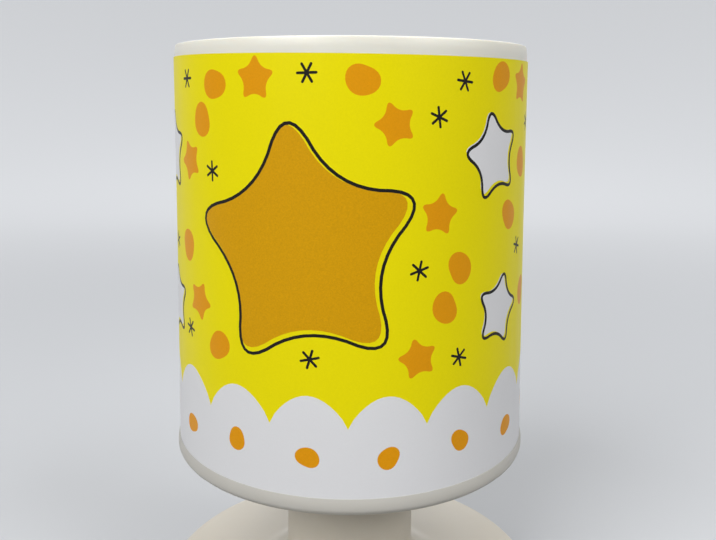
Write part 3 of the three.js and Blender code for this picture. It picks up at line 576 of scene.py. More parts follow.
def switch_body():
    collar = [(foot_top, rounded_outline(*collar_half, collar_corner))]
    for step in range(7):
        angle = math.pi / 2 * step / 6
        inset = collar_round * (1 - math.cos(angle))
        outline = rounded_outline(collar_half.x - inset, collar_half.y - inset, collar_corner - inset)
        collar.append((switch_high.z - collar_round * (1 - math.sin(angle)), outline))
    piece = stacked("switch_body", collar)
    added = [drawn_out("hanging", rounded_outline(*switch_body_half, switch_body_corner, 3),
                       switch_low.z, foot_top + collar_rooted)]
    barb_top = foot_ceiling - fit_gap
    side = switch_body_half.y
    wedge = [(side - barb_root, barb_top), (side - barb_root, barb_top - barb_height),
             (side, barb_top - barb_height), (side + barb_proud, barb_top)]
    for turn in (0.0, math.pi):
        barb = drawn_out("barb", wedge, -barb_half_width, barb_half_width)
        added.append(moved(barb, spin(turn) @ lie_across))
    combine(piece, added, "UNION")
    well = drawn_out("well", rounded_outline(*well_half, well_corner, 4),
                     pivot_height - well_depth, well_top)
    bearing = moved(pin("bearing", trunnion_radius + fit_gap, -bearing_half, bearing_half, steps=24),
                    shift(z=pivot_height) @ spin(math.pi / 2, "Y"))
    return moved(combine(piece, [well, bearing]), shift(y=switch_y))


def rocker_paddle():
    """The paddle's section, drawn round its pivot with a shallow hollow on top, drawn out along X."""
    rim = math.asin(rocker_rim / rocker_reach) + rocker_tilt
    keel = math.asin(rocker_keel / rocker_reach)
    rim_y, rim_z = on_circle(rocker_reach, rim)

    def hollow(share):
        return rim_z * (1 - 2 * share * (1 - share)) + rocker_crown * 2 * share * (1 - share)

    section = arc(0.0, 0.0, rocker_reach, -math.degrees(keel), math.degrees(rim), 12)
    section += [(rim_y * (1 - step / 8), hollow(step / 16)) for step in range(1, 16)]
    section += arc(0.0, 0.0, rocker_reach, 180 - math.degrees(rim), 180 + math.degrees(keel), 12)
    piece = drawn_out("rocker_paddle", section, -rocker_half_width, rocker_half_width)
    bevelled(moved(piece, lie_across), rocker_bevel, 3, 50.0)
    trunnion = pin("trunnion", trunnion_radius, -trunnion_half, trunnion_half, steps=24)
    combine(piece, [moved(trunnion, spin(math.pi / 2, "Y"))], "UNION")
    floor = hollow(0.5 - mark_place / (2 * rim_y)) - mark_depth
    near, far = ring_mark_radii
    bar_mark = drawn_out("bar_mark", rounded_outline(*bar_mark_half, bar_mark_corner, 4),
                         floor, floor + overrun)
    ring_mark = turned("ring_mark", [(near, floor), (far, floor), (far, floor + overrun),
                                     (near, floor + overrun)], 40)
    combine(piece, [moved(bar_mark, shift(y=-mark_place)), moved(ring_mark, shift(y=mark_place))])
    return moved(piece, shift(0.0, switch_y, pivot_height) @ spin(-rocker_tilt, "X"))


plastic("white_plastic", (0.73, 0.73, 0.70), gloss=(0.26, 0.36), scatter=0.1)
fit(switch_body(), "white_plastic", "switch_housing")
fit(rocker_paddle(), "white_plastic", "switch_rocker", "rocker", 28.0)


def worked_metal_group():
    """Plated or rolled metal: a mottled tone, scuffs that change its gloss, and a fine drawn grain."""
    group, place, start, end = surface_group("worked_metal", {
        "Colour": (0.6, 0.6, 0.6, 1.0), "Gloss Low": 0.22, "Gloss High": 0.42, "Darkest": 0.88})
    mottle = grain(group, place, 180.0, 4.0, 0.6)
    scuff = grain(group, place, 420.0, 5.0, 0.7)
    drawn = add_node(group, "Mapping", {"Vector": place, "Scale": (1.0, 1.0, 14.0)}).outputs["Vector"]
    lines = grain(group, drawn, 700.0)
    tone = spread(group, mottle, start.outputs["Darkest"], 1.0)
    gloss = spread(group, scuff, start.outputs["Gloss Low"], start.outputs["Gloss High"])
    return finish_group(group, start, end, tone, gloss, lines)


worked_metal = worked_metal_group()


def metal(name, colour, gloss=(0.22, 0.42), darkest=0.88):
    values = {"Colour": (*colour, 1.0), "Gloss Low": gloss[0], "Gloss High": gloss[1], "Darkest": darkest}
    dressed(name, worked_metal, values, {"Metallic": 1.0}, 0.00001, 0.25)


tab_tip = 0.0007
metal("brass_contact", (0.78, 0.56, 0.25), darkest=0.8)
for number in (1, 2):
    low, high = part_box(f"switch_tab_{number}")
    half = (high.y - low.y) / 2
    blade = [(low.z, half - tab_tip), (low.z + tab_tip, half), (high.z, half)]
    outline = [(-width, height) for height, width in blade]
    outline += [(width, height) for height, width in blade[::-1]]
    tab = moved(drawn_out(f"switch_blade_{number}", outline, low.x, high.x),
                shift(y=(low.y + high.y) / 2) @ lie_across)
    fit(bevelled(tab, 0.0001), "brass_contact", f"switch_tab_{number}")

# Cord inlet and clamp
# A black nylon bush snapped into the round hole at the back of the foot, its mouth rounded so that the
# cord isn't cut, and inside it a clamp bar that two screws draw up against the foot's saddle.
bush_bore = 0.0031
bush_barrel = 0.004
bush_flange = 0.005
bush_lip = 0.0005
bush_flange_face = 0.06595
bush_edge = 0.0003
clamp_edge = 0.0003
# Each screw: head radius, head depth, the shank's radius and its length.
clamp_screw = (0.0026, 0.0014, 0.0011, 0.008)


def cord_bush():
    piece = turned("cord_bush", [
        (bush_bore, bush_low.y + bush_edge),
        (bush_bore + bush_edge, bush_low.y),
        (bush_flange - bush_edge, bush_low.y),
        (bush_flange, bush_low.y + bush_edge),
        (bush_flange, bush_flange_face - bush_edge),
        (bush_flange - bush_edge, bush_flange_face),
        (bush_barrel, bush_flange_face),
        *arc(bush_barrel - bush_lip, foot_radius - bush_lip, bush_lip, 0, 90, 6),
        *arc(bush_bore + bush_edge, foot_radius - bush_edge, bush_edge, 90, 180, 5),
    ], 56)
    return moved(piece, shift(z=inlet_height) @ spin(-math.pi / 2, "X"))


plastic("black_plastic", (0.018, 0.018, 0.019), gloss=(0.38, 0.52), pebble=2000.0)
fit(cord_bush(), "black_plastic", "cable_inlet_bush")

clamp_low, clamp_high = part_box("cord_clamp_bar")
clamp_half = (clamp_high - clamp_low) / 2
clamp = stacked("clamp_bar", [
    (height, rounded_outline(clamp_half.x - inset, clamp_half.y - inset, clamp_half.y - inset - 1e-6, 12))
    for height, inset in ((clamp_low.z, clamp_edge), (clamp_low.z + clamp_edge, 0.0),
                          (clamp_high.z - clamp_edge, 0.0), (clamp_high.z, clamp_edge))])
combine(clamp, [pin("hole", screw_hole, clamp_low.z - overrun, clamp_high.z + overrun,
                    (side * clamp_spread, 0.0), 24) for side in (-1, 1)])
fit(moved(clamp, shift(y=clamp_distance)), "black_plastic", "cord_clamp_bar")


def cross_recess(reach, width, depth, mouth=0.0):
    """The cutters for a cross recess that narrows as it goes down from its mouth."""
    layers = [(mouth - 0.0006, rounded_outline(reach * 1.25, width * 0.7, width * 0.3, 2)),
              (mouth, rounded_outline(reach, width / 2, width * 0.2, 2)),
              (mouth + depth, rounded_outline(reach * 0.45, width * 0.32, width * 0.2, 2))]
    return [moved(stacked("recess", layers), spin(turn)) for turn in (0.0, math.pi / 2)]


def shank_ridges(shank, low, high):
    """The thread of a small screw, as ridges in its profile."""
    ridges = max(2, round((high - low) / 0.0008))
    pitch = (high - low) * 0.96 / ridges
    profile = []
    for ridge in range(ridges):
        start = low + pitch * ridge
        profile += [(shank * 0.85, start + pitch * 0.2), (shank, start + pitch * 0.55),
                    (shank * 0.85, start + pitch * 0.9)]
    return profile + [(shank * 0.7, high), (0.0, high)]


def pan_screw(name, head, head_depth, shank, length):
    """A pan-head screw pointing up: its domed, cross-recessed head hangs below height 0."""
    profile = [(0.0, -head_depth)]
    for step in range(1, 9):
        angle = math.pi / 2 * step / 8
        profile.append((head * (0.65 + 0.35 * math.sin(angle)),
                        -head_depth * (1 - 0.6 * (1 - math.cos(angle)))))
    profile += [(head, 0.0), (shank, 0.0), *shank_ridges(shank, 0.0, length)]
    piece = turned(name, profile, 40)
    return combine(piece, cross_recess(head * 0.6, head * 0.26, head_depth * 0.62, -head_depth))


metal("steel_screw", (0.62, 0.62, 0.60), gloss=(0.20, 0.36))


def fit_screw(screw, place, node):
    fit(moved(screw, place), "steel_screw", node, crisp=38.0)


for number, side in ((1, -1), (2, 1)):
    fit_screw(pan_screw(f"clamp_screw_{number}", *clamp_screw),
              shift(side * clamp_spread, clamp_distance, clamp_low.z), f"cord_clamp_screw_{number}")

# Terminal block
# A white two-pole block screwed up to its post in the foot. Brass sleeves in its barrels take the bare
# wire ends, and two screws bear on each wire from below.
terminal_axis = 0.0092
pole_places = (-0.0055, 0.0055)
terminal_half_length = 0.007
terminal_barrel = 0.004
terminal_edge = 0.0004
terminal_cut = 0.005
sleeve_tube = 0.0022
sleeve_bore = 0.0014
sleeve_half_length = 0.006
sleeve_edge = 0.0002
wire_screw_reach = 0.0036
wire_screw_well = 0.0018
wire_screw_hole = 0.0012
wire_screw_seat = -0.0025
fixing_well = 0.0024
wire_screw = (0.0014, 0.0012, 0.0009, 0.0012)
fixing_screw = (0.0021, 0.0009, 0.0011, 0.007)
wire_screw_places = [(x, y) for x in pole_places for y in (-wire_screw_reach, wire_screw_reach)]
terminal_turn = shift(*terminal_place, terminal_axis) @ spin(terminal_angle - math.pi / 2)
along_y = spin(math.pi / 2, "X")


def terminal_body():
    outline = edged(terminal_barrel, -terminal_half_length, terminal_half_length, terminal_edge)
    piece, other = [moved(turned(name, outline, 40), shift(x) @ along_y)
                    for name, x in zip(("terminal_body", "barrel"), pole_places)]
    web = bar("web", (pole_places[0], -terminal_half_length, 0.0),
              (pole_places[1], terminal_half_length, terminal_barrel))
    combine(piece, [other, web], "UNION")
    taken = [moved(pin("bore", sleeve_tube + fit_gap, -2 * terminal_half_length, 2 * terminal_half_length),
                   shift(x) @ along_y) for x in pole_places]
    taken += [pin("well", wire_screw_well, -terminal_cut, 0.0, place, 24) for place in wire_screw_places]
    taken += [pin("fixing", screw_hole, -terminal_barrel, terminal_cut, steps=24),
              pin("fixing_well", fixing_well, -terminal_cut, 0.0, steps=24)]
    return moved(combine(piece, taken), terminal_turn)


fit(terminal_body(), "white_plastic", "terminal_block")
for number, x in enumerate(pole_places, 1):
    tube = moved(turned(f"wire_sleeve_{number}", [
        (sleeve_bore, -sleeve_half_length + sleeve_edge), (sleeve_bore + sleeve_edge, -sleeve_half_length),
        (sleeve_tube, -sleeve_half_length), (sleeve_tube, sleeve_half_length),
        (sleeve_bore + sleeve_edge, sleeve_half_length), (sleeve_bore, sleeve_half_length - sleeve_edge),
    ], 40), along_y)
    combine(tube, [pin("hole", wire_screw_hole, -terminal_barrel, 0.0, (0.0, y), 20)
                   for _, y in wire_screw_places[:2]])
    fit(moved(tube, terminal_turn @ shift(x)), "brass_contact", f"terminal_sleeve_{number}")
for number, (x, y) in enumerate(wire_screw_places, 1):
    fit_screw(pan_screw(f"wire_screw_{number}", *wire_screw), terminal_turn @ shift(x, y, wire_screw_seat),
              f"terminal_screw_{number}")
fit_screw(pan_screw("block_screw", *fixing_screw), terminal_turn, "terminal_fixing_screw")

# Leads
# Single insulated leads between the terminal block, the switch and the lampholder, brown for the switched
# side and blue for the other, run up the neck and through the nipple.
lead_radius = 0.001
lead_sides = 14
lead_bend = 0.009
lead_spread = 0.0016
lead_hole_place = 0.004
lead_hole_end = 0.0029
lead_start = -0.003
lead_out = -0.0115
lead_tab_gap = 0.0003
lead_tab_start = 0.0007
weight_low, weight_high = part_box("ballast_plate")
lead_floor = (weight_high.z + foot_ceiling - rib_depth) / 2
near_tab, far_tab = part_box("switch_tab_1"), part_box("switch_tab_2")
tab_height = (near_tab[0].z + near_tab[1].z) / 2
near_tab_y = near_tab[1].y + lead_tab_gap
far_tab_y = (far_tab[0].y + far_tab[1].y) / 2


def lead_line(points, steps=10):
    """A smooth route through points, even where they are unevenly spaced."""
    points = [Vector(point) for point in points]
    ends = [2 * points[0] - points[1], *points, 2 * points[-1] - points[-2]]
    line = []
    for four in zip(ends, ends[1:], ends[2:], ends[3:]):
        knots = [0.0]
        for one, other in zip(four, four[1:]):
            knots.append(knots[-1] + math.sqrt((other - one).length))
        for step in range(steps):
            t = knots[1] + (knots[2] - knots[1]) * step / steps
            near = [four[i].lerp(four[i + 1], (t - knots[i]) / (knots[i + 1] - knots[i])) for i in range(3)]
            wide = [near[i].lerp(near[i + 1], (t - knots[i]) / (knots[i + 2] - knots[i])) for i in range(2)]
            line.append(wide[0].lerp(wide[1], step / steps))
    return [*line, points[-1]]


def lead_tube(name, line):
    """A round lead swept along a line without twisting, cut square at both ends."""
    side = (line[1] - line[0]).orthogonal()
    outlines = []
    for before, point, after in zip([line[0], *line], line, [*line[1:], line[-1]]):
        along = (after - before).normalized()
        side = (side - along * side.dot(along)).normalized()
        across = along.cross(side)
        outlines.append([point + (side * math.cos(a) + across * math.sin(a)) * lead_radius
                         for a in even_angles(lead_sides)])
    return skinned(name, outlines)


def from_terminal(pole):
    """The start of a lead in the terminal block, and a point straight out of it."""
    return [terminal_turn @ Vector((pole_places[pole], y, 0.0)) for y in (lead_start, lead_out)]


def neck_route(side):
    """Up the neck, through the nipple and into the contact block."""
    x, hole = side * lead_spread, side * lead_hole_place
    block_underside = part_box("holder_contact_block")[0].z
    nipple_ends = [corner.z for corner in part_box("threaded_nipple")]
    return [(x, 0.0, foot_top + lead_bend), (x, 0.0, (foot_top + deck_top) / 2), (x, 0.0, nipple_ends[0]),
            (x, 0.0, nipple_ends[1]), (hole, 0.0, block_underside - 2 * lead_radius),
            (hole, 0.0, block_underside + lead_hole_end)]


lead_routes = {
    "neutral": [
        *from_terminal(1), (terminal_place[0] / 2, terminal_place[1] / 2, lead_floor),
        (-lead_spread, lead_bend / 2, lead_floor + lead_bend), *neck_route(-1)],
    "feed": [
        *from_terminal(0), (lead_bend / 2 - weight_high.x, 0.0, lead_floor),
        (-lead_bend, near_tab_y + lead_bend, lead_floor),
        (-lead_bend / 3, near_tab_y + lead_bend / 2, tab_height + lead_radius / 2),
        (0.0, near_tab_y, tab_height)],
    "switched": [
        (lead_tab_start, far_tab_y, tab_height), (lead_bend / 3, far_tab_y, tab_height),
        (lead_bend * 0.75, near_tab_y, tab_height + lead_radius),
        (lead_bend * 0.75, near_tab_y + lead_bend, lead_floor),
        (lead_bend / 3, -neck_radius / 2, lead_floor + lead_radius),
        (lead_spread, -lead_bend / 2, lead_floor + lead_bend), *neck_route(1)],
}
plastic("blue_insulation", (0.035, 0.10, 0.42), gloss=(0.30, 0.42), pebble=1800.0)
plastic("brown_insulation", (0.12, 0.042, 0.018), gloss=(0.30, 0.42), pebble=1800.0)
for role, route in lead_routes.items():
    colour = "blue" if role == "neutral" else "brown"
    fit(lead_tube(f"{role}_lead", lead_line(route)), f"{colour}_insulation", f"lead_{role}")

# Weight plate, cover and pads
# A steel ring held down on the ivory cover plate by three countersunk screws gives the foot its weight.
# Four more screws hold the cover to the foot's bosses, and four rubber pads sit in its recesses.
cover_radius = cover_high.x
cover_edge = 0.0005
cover_upper_edge = 0.0002
pad_circle = 0.056
pad_radius = 0.006
pad_top = 0.003
pad_edge = 0.0006
pad_hollow = 0.00025
weight_radius = weight_high.x
weight_bore = 0.009
weight_edge = 0.0004
weight_hole = 0.0018
pad_angles = even_angles(4, -math.pi / 2)
weight_screw_circle = 0.028
weight_screw_places = [on_circle(weight_screw_circle, angle) for angle in even_angles(3, math.pi / 2)]
cover_screw_places = [on_circle(boss_circle, angle) for angle in boss_angles]
screw_lip = 0.0002
# These two lengths are measured from the head's face.
cover_screw = (0.0031, 0.0015, 0.0014, 0.010)
weight_screw = (0.0028, 0.0013, 0.0015, 0.0049)

metal("steel_plate", (0.50, 0.51, 0.52), gloss=(0.32, 0.5), darkest=0.8)
weight = turned("weight_plate", [
    (weight_bore, weight_low.z + weight_edge), (weight_bore + weight_edge, weight_low.z),
    *edged(weight_radius, weight_low.z, weight_high.z, weight_edge)[1:-1],
    (weight_bore + weight_edge, weight_high.z), (weight_bore, weight_high.z - weight_edge)], 128)
combine(weight, [pin("hole", weight_hole, weight_low.z - overrun, weight_high.z + overrun, place, 24)
                 for place in weight_screw_places])
fit(weight, "steel_plate", "ballast_plate")


def countersunk_hole(head, head_depth, shank, place):
    through = cover_high.z - cover_low.z + overrun
    return moved(turned("countersunk_hole", [
        (0.0, -overrun), (head + fit_gap, -overrun), (head + fit_gap, 0.0), (shank + fit_gap, head_depth),
        (shank + fit_gap, through), (0.0, through)], 40), shift(*place, cover_low.z))


cover = turned("cover_plate", [
    (0.0, cover_low.z),
    *arc(cover_radius - cover_edge, cover_low.z + cover_edge, cover_edge, 270, 360, 4),
    *edged(cover_radius, cover_low.z, cover_high.z, cover_upper_edge)[3:]], 192)
cover_holes = [pin("recess", pad_radius + fit_gap, cover_low.z - overrun, pad_top,
                   on_circle(pad_circle, angle), 48) for angle in pad_angles]
cover_holes += [countersunk_hole(*cover_screw[:3], place) for place in cover_screw_places]
cover_holes += [countersunk_hole(*weight_screw[:3], place) for place in weight_screw_places]
fit(combine(cover, cover_holes), "ivory_plastic", "foot_cover")


def countersunk_screw(name, head, head_depth, shank, length):
    """A countersunk screw pointing up, its cross-recessed head flush with height 0."""
    profile = [(0.0, 0.0), (head - screw_lip, 0.0), (head, screw_lip), (shank, head_depth),
               *shank_ridges(shank, head_depth, length)]
    return combine(turned(name, profile, 40), cross_recess(head * 0.55, head * 0.23, head_depth * 0.6))


for kind, node, sizes, places in (("cover", "cover", cover_screw, cover_screw_places),
                                  ("weight", "ballast", weight_screw, weight_screw_places)):
    for number, place in enumerate(places, 1):
        fit_screw(countersunk_screw(f"{kind}_fixing_{number}", *sizes), shift(*place, cover_low.z),
                  f"{node}_screw_{number}")

plastic("pad_rubber", (0.045, 0.045, 0.048), gloss=(0.62, 0.78), pebble=1500.0, depth=0.00006)
for number, angle in enumerate(pad_angles, 1):
    pad = turned(f"rubber_pad_{number}", [
        (0.0, pad_hollow), (pad_radius * 0.55, pad_hollow), (pad_radius * 0.6, 0.0),
        *arc(pad_radius - pad_edge, pad_edge, pad_edge, 270, 360, 6),
        (pad_radius, pad_top), (0.0, pad_top)], 56)
    fit(moved(pad, shift(*on_circle(pad_circle, angle))), "pad_rubber", f"foot_pad_{number}")

# Dish under the shade
# A moulding keyed on the neck's pegs, in a greyer ivory than the foot's that is also darkened as painted
# shade for its place under the shade. Its bulging rim shows as a ring under the sleeve, whose lower edge is
# hidden in a groove behind a thin lip. An upright ring centres the shade, and slots let cool air in.
dish_low, dish_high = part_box("gallery_dish")
tube_low, tube_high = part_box("shade_tube")
film_low, film_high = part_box("print_sleeve")
film_height = film_high.z - film_low.z
film_bottom_radius = film_high.x
film_taper = 0.0033
film_waist = 0.00022
film_thickness = 0.00025
film_gap = 0.0001
tube_wall = 0.002
dish_floor = dish_low.z + 0.0022
dish_ledge = dish_low.z + 0.0051
dish_rim_radius = dish_high.x - 0.0001
dish_under_width = 0.003
dish_under_height = 0.0024
dish_lip_top = dish_low.z + 0.0058
dish_lip = 0.0001
dish_rib_rise = 0.0025
groove_depth = 0.00025
groove_play = 0.00005
ledge_bevel = 0.0003
ring_top = dish_high.z
ring_gap = 0.00035
ring_wall = 0.0018
ring_bevel = 0.0006
ring_fillet = 0.001
slot_half = 0.0015
slot_start = 0.029
slot_end = 0.050


def film_radius(height):
    """Outer radius of the printed film at a height, with its taper and slight waist."""
    share = (height - film_low.z) / film_height
    waist = 4 * film_waist * share * (1 - share) if 0 < share < 1 else 0.0
    return film_bottom_radius - film_taper * share - waist


def tube_radius(height):
    return film_radius(height) - film_thickness - film_gap


def shade_dish():
    ring_outer = tube_radius(dish_ledge) - tube_wall - ring_gap
    ring_outer_top = tube_radius(ring_top) - tube_wall - ring_gap
    ring_inner = ring_outer_top - ring_wall
    widest = dish_low.z + dish_under_height
    groove_inner = film_bottom_radius - film_thickness - groove_play
    groove_outer = film_bottom_radius + groove_play
    narrowing = dish_rim_radius - groove_outer - dish_lip
    piece = turned("shade_dish", [
        (nipple_hole, dish_low.z),
        *[(dish_rim_radius + dish_under_width * (out - 1), widest + dish_under_height * up)
          for out, up in arc(0.0, 0.0, 1.0, 270, 360, 14)],
        *[(dish_rim_radius - narrowing * share * share, widest + (dish_lip_top - widest) * share)
          for share in (0.2, 0.4, 0.6, 0.8, 1.0)],
        (groove_outer, dish_lip_top),
        (groove_outer, dish_ledge - groove_depth),
        (groove_inner, dish_ledge - groove_depth),
        (groove_inner, dish_ledge),
        (ring_outer + ledge_bevel, dish_ledge),
        (ring_outer, dish_ledge + ledge_bevel),
        *arc(ring_outer_top - ring_bevel, ring_top - ring_bevel, ring_bevel, 0, 90, 5),
        (ring_inner + ledge_bevel, ring_top),
        (ring_inner, ring_top - ledge_bevel),
        *arc(ring_inner - ring_fillet, dish_floor + ring_fillet, ring_fillet, 360, 270, 5),
        (nipple_hole, dish_floor),
    ], 240)
    combine(piece, [bar("rib", (neck_radius, -rib_half, (dish_low.z + dish_floor) / 2),
                        (ring_inner + ring_wall / 2, rib_half, dish_floor + dish_rib_rise), angle)
                    for angle in even_angles(6, math.pi / 12)], "UNION")
    ends = (dish_low.z - overrun, dish_floor + overrun)
    slot = rounded_outline((slot_end - slot_start) / 2, slot_half, slot_half - 1e-6)
    taken = [moved(drawn_out("slot", slot, *ends), spin(angle) @ shift((slot_start + slot_end) / 2))
             for angle in even_angles(12)]
    taken += [pin("key_hole", key_peg_radius + fit_gap, *ends, (side * key_peg_place, 0.0), 28)
              for side in (-1, 1)]
    return combine(piece, taken)


# A greyer copy of the foot's ivory, darkened further as painted shade for the rim under the shade.
plastic("dish_ivory_painted_shade", (0.48, 0.463, 0.422), scatter=0.12)
fit(shade_dish(), "ivory_plastic", "gallery_dish", finish="dish_ivory_painted_shade")

# Nipple, washer and nut
# A zinc-plated threaded tube passes through the deck, the dish and the lampholder's cap. A hexagonal nut
# and a toothed washer draw it down from inside the neck.
nipple_low, nipple_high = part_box("threaded_nipple")
nut_low, nut_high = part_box("nipple_nut")
washer_low, washer_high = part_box("nipple_washer")
nipple_radius = 0.005
nipple_bore = 0.0037
nipple_pitch = 0.001
nipple_thread = 0.00025
nipple_run_out = 0.0008
nut_across_flats = 0.014
nut_reach = nut_across_flats / math.sqrt(3)
nut_chamfer = 0.0007
washer_teeth = 12
washer_root = 0.0078


def wavy_tube(name, low, high, outer, inner, steps, levels):
    """A tube whose radii change with angle and height. Without an inner radius it is filled."""
    body = bmesh.new()
    heights = [low.z + (high.z - low.z) * level / levels for level in range(levels + 1)]
    shells = []
    for radius_at in filter(None, (outer, inner)):
        shells.append([[body.verts.new((*on_circle(radius_at(angle, height), angle), height))
                        for angle in even_angles(steps)] for height in heights])
        bridge(body, shells[-1])
    for end in (0, -1):
        if inner:
            bridge(body, [rings[end] for rings in shells])
        else:
            body.faces.new(shells[0][end])
    return link_mesh(name, body)


def thread_wave(angle, height, low, high, pitch, run_out):
    """A screw thread's rise from -1 to 1, fading to its root towards both ends."""
    fade = max(0.0, min(1.0, (height - low) / run_out, (high - height) / run_out))
    wave = math.cos(2 * math.pi * (height - low) / pitch - angle)
    return fade * (1 + wave) - 1


def nipple_outer(angle, height):
    wave = thread_wave(angle, height, nipple_low.z, nipple_high.z, nipple_pitch, nipple_run_out)
    return nipple_radius - nipple_thread + nipple_thread * wave


def bored(piece, low, high):
    return combine(piece, [pin("bore", nipple_hole, low.z - overrun, high.z + overrun, steps=48)])


nipple = wavy_tube("hollow_screw", nipple_low, nipple_high, nipple_outer,
                   lambda angle, height: nipple_bore, 40, 120)
fit(nipple, "steel_screw", "threaded_nipple", crisp=60.0)

hexagon = [on_circle(nut_reach, angle) for angle in even_angles(6)]
nut = drawn_out("hexagon_nut", hexagon, nut_low.z, nut_high.z)
nut_face, nut_corner = nut_across_flats / 2 + 0.0001, nut_reach + 0.0002
combine(nut, [turned("nut_chamfer", [
    (0.0, nut_low.z - 1e-5), (nut_face, nut_low.z - 1e-5), (nut_corner, nut_low.z + nut_chamfer),
    (nut_corner, nut_high.z - nut_chamfer), (nut_face, nut_high.z + 1e-5), (0.0, nut_high.z + 1e-5)])],
        "INTERSECT")
fit(bored(nut, nut_low, nut_high), "steel_screw", "nipple_nut", crisp=25.0)

teeth = [on_circle(washer_root if number % 4 in (2, 3) else washer_high.x, angle)
         for number, angle in enumerate(even_angles(4 * washer_teeth))]
washer = bored(drawn_out("toothed_washer", teeth, washer_low.z, washer_high.z), washer_low, washer_high)
fit(bevelled(washer, 0.0001), "steel_screw", "nipple_washer")

# Lampholder
# A small screw holder in off-white heat-proof plastic: a cap on the nipple, a ceramic block with the
# terminals, a rolled brass screw shell and spring tongue, and a fluted barrel over them.
cap_low, cap_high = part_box("holder_cap")
block_low, block_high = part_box("holder_contact_block")
shell_low, shell_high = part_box("holder_screw_shell")
tongue_low, tongue_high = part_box("holder_centre_contact")
barrel_low, barrel_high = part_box("holder_barrel")
holder_radius = 0.014
holder_inner = 0.012
holder_edge = 0.0003
# The cap outside and inside, as radii and heights over its underside.
cap_outside = [(nipple_hole, 0.0), (0.0092, 0.0), (0.0095, holder_edge), (0.0106, 0.0014), (0.0119, 0.0027),
               (0.0130, 0.004), (0.01372, 0.0055), (holder_radius, 0.007)]
cap_inside = [(0.010, 0.007), (0.0075, 0.003), (nipple_hole, 0.003)]
barrel_mouth = 0.011
barrel_round = 0.0015
flute_count = 40
flute_depth = 0.00028
flute_bands = (0.003, 0.005)
flute_fade = 0.001
shell_pitch = 0.00282
shell_radius = 0.00775
shell_thread = 0.00025
shell_bands = (0.0012, 0.0006)
shell_run_out = 0.0016
shell_wall = 0.00045
shell_floor = (0.005, 0.0074)
shell_floor_top = shell_low.z + 0.0006
block_radius = 0.0117
block_edge = 0.0004
holder_screw_place = 0.0074
# The holes in the block: radius, depth and distance from the axis.
block_holes = ((0.0014, 0.0032, lead_hole_place), (0.0015, 0.0053, holder_screw_place))
holder_screw = (0.0021, 0.0012, 0.0012, 0.005)
tongue_thickness = 0.0005
tongue_rise = tongue_high.z - tongue_low.z - tongue_thickness
tongue_half_length = 0.0042
tongue_half_width = 0.0015
# The tongue's whole length and where its two bends start, in half lengths.
tongue_length = 1.78
tongue_foot = -0.45
tongue_crest = 0.3

plastic("holder_plastic", (0.70, 0.68, 0.62), gloss=(0.36, 0.5), scatter=0.05)
cap = turned("holder_bell", [
    *[(radius, cap_low.z + height) for radius, height in cap_outside],
    (holder_radius, cap_high.z - holder_edge), (holder_radius - holder_edge, cap_high.z),
    (holder_inner, cap_high.z), (holder_inner, block_low.z), (cap_inside[0][0], block_low.z),
    *[(radius, cap_low.z + height) for radius, height in cap_inside]], 96)
fit(cap, "holder_plastic", "holder_cap", crisp=40.0)

plastic("holder_ceramic", (0.72, 0.70, 0.64), gloss=(0.14, 0.28), pebble=900.0, depth=0.00003)
contact_block = turned("contact_block", edged(block_radius, block_low.z, block_high.z, block_edge), 96)
combine(contact_block, [pin("hole", radius, block_low.z - overrun, block_low.z + depth, (x, 0.0), 24)
                        for radius, depth, place in block_holes for x in (-place, place)])
fit(contact_block, "holder_ceramic", "holder_contact_block")


def shell_outer(angle, height):
    low, high = shell_low.z + shell_bands[0], shell_high.z - shell_bands[1]
    return shell_radius + shell_thread * thread_wave(angle, height, low, high, shell_pitch, shell_run_out)


def shell_inner(angle, height):
    return shell_outer(angle, height) - shell_wall


screw_shell = wavy_tube("rolled_shell", shell_low, shell_high, shell_outer, shell_inner, 96, 96)
combine(screw_shell, [turned("shell_floor", [
    (shell_floor[0], shell_low.z), (shell_floor[1], shell_low.z),
    (shell_floor[1], shell_floor_top), (shell_floor[0], shell_floor_top)], 96)], "UNION")
fit(screw_shell, "brass_contact", "holder_screw_shell", crisp=50.0)

tongue_line = []
for step in range(25):
    along = -1 + tongue_length * step / 24
    up = 0.0
    if along > tongue_crest:
        up = 1 - 0.19 * (1 - math.cos(math.pi * (along - tongue_crest) / 0.48))
    elif along > tongue_foot:
        up = 0.5 - 0.5 * math.cos(math.pi * (along - tongue_foot) / 0.75)
    tongue_line.append((along * tongue_half_length, up * tongue_rise))
tongue_outline = tongue_line + [(x, z + tongue_thickness) for x, z in tongue_line[::-1]]
tongue = moved(drawn_out("spring_tongue", tongue_outline, -tongue_half_width, tongue_half_width),
               shift(z=tongue_low.z) @ along_y)
fit(bevelled(tongue, 0.00008), "brass_contact", "holder_centre_contact")


def barrel_outer(angle, height):
    """Shallow flutes between two plain bands, and a rounded top edge."""
    top = barrel_high.z - height
    rounding = 0.0
    if top < barrel_round:
        rounding = barrel_round - math.sqrt(max(0.0, barrel_round ** 2 - (barrel_round - top) ** 2))
    fade = max(0.0, min(1.0, (height - barrel_low.z - flute_bands[0]) / flute_fade,
                        (barrel_high.z - flute_bands[1] - height) / flute_fade))
    groove = max(0.0, math.cos(flute_count * angle)) ** 2
    return holder_radius - rounding - flute_depth * fade * groove


def barrel_inner(angle, height):
    return holder_inner if height < block_high.z + fit_gap else barrel_mouth


fit(wavy_tube("fluted_barrel", barrel_low, barrel_high, barrel_outer, barrel_inner, 6 * flute_count, 106),
    "holder_plastic", "holder_barrel", crisp=35.0)
for number, side in ((1, -1), (2, 1)):
    fit_screw(pan_screw(f"holder_screw_{number}", *holder_screw),
              shift(side * holder_screw_place, 0.0, block_low.z), f"holder_terminal_screw_{number}")

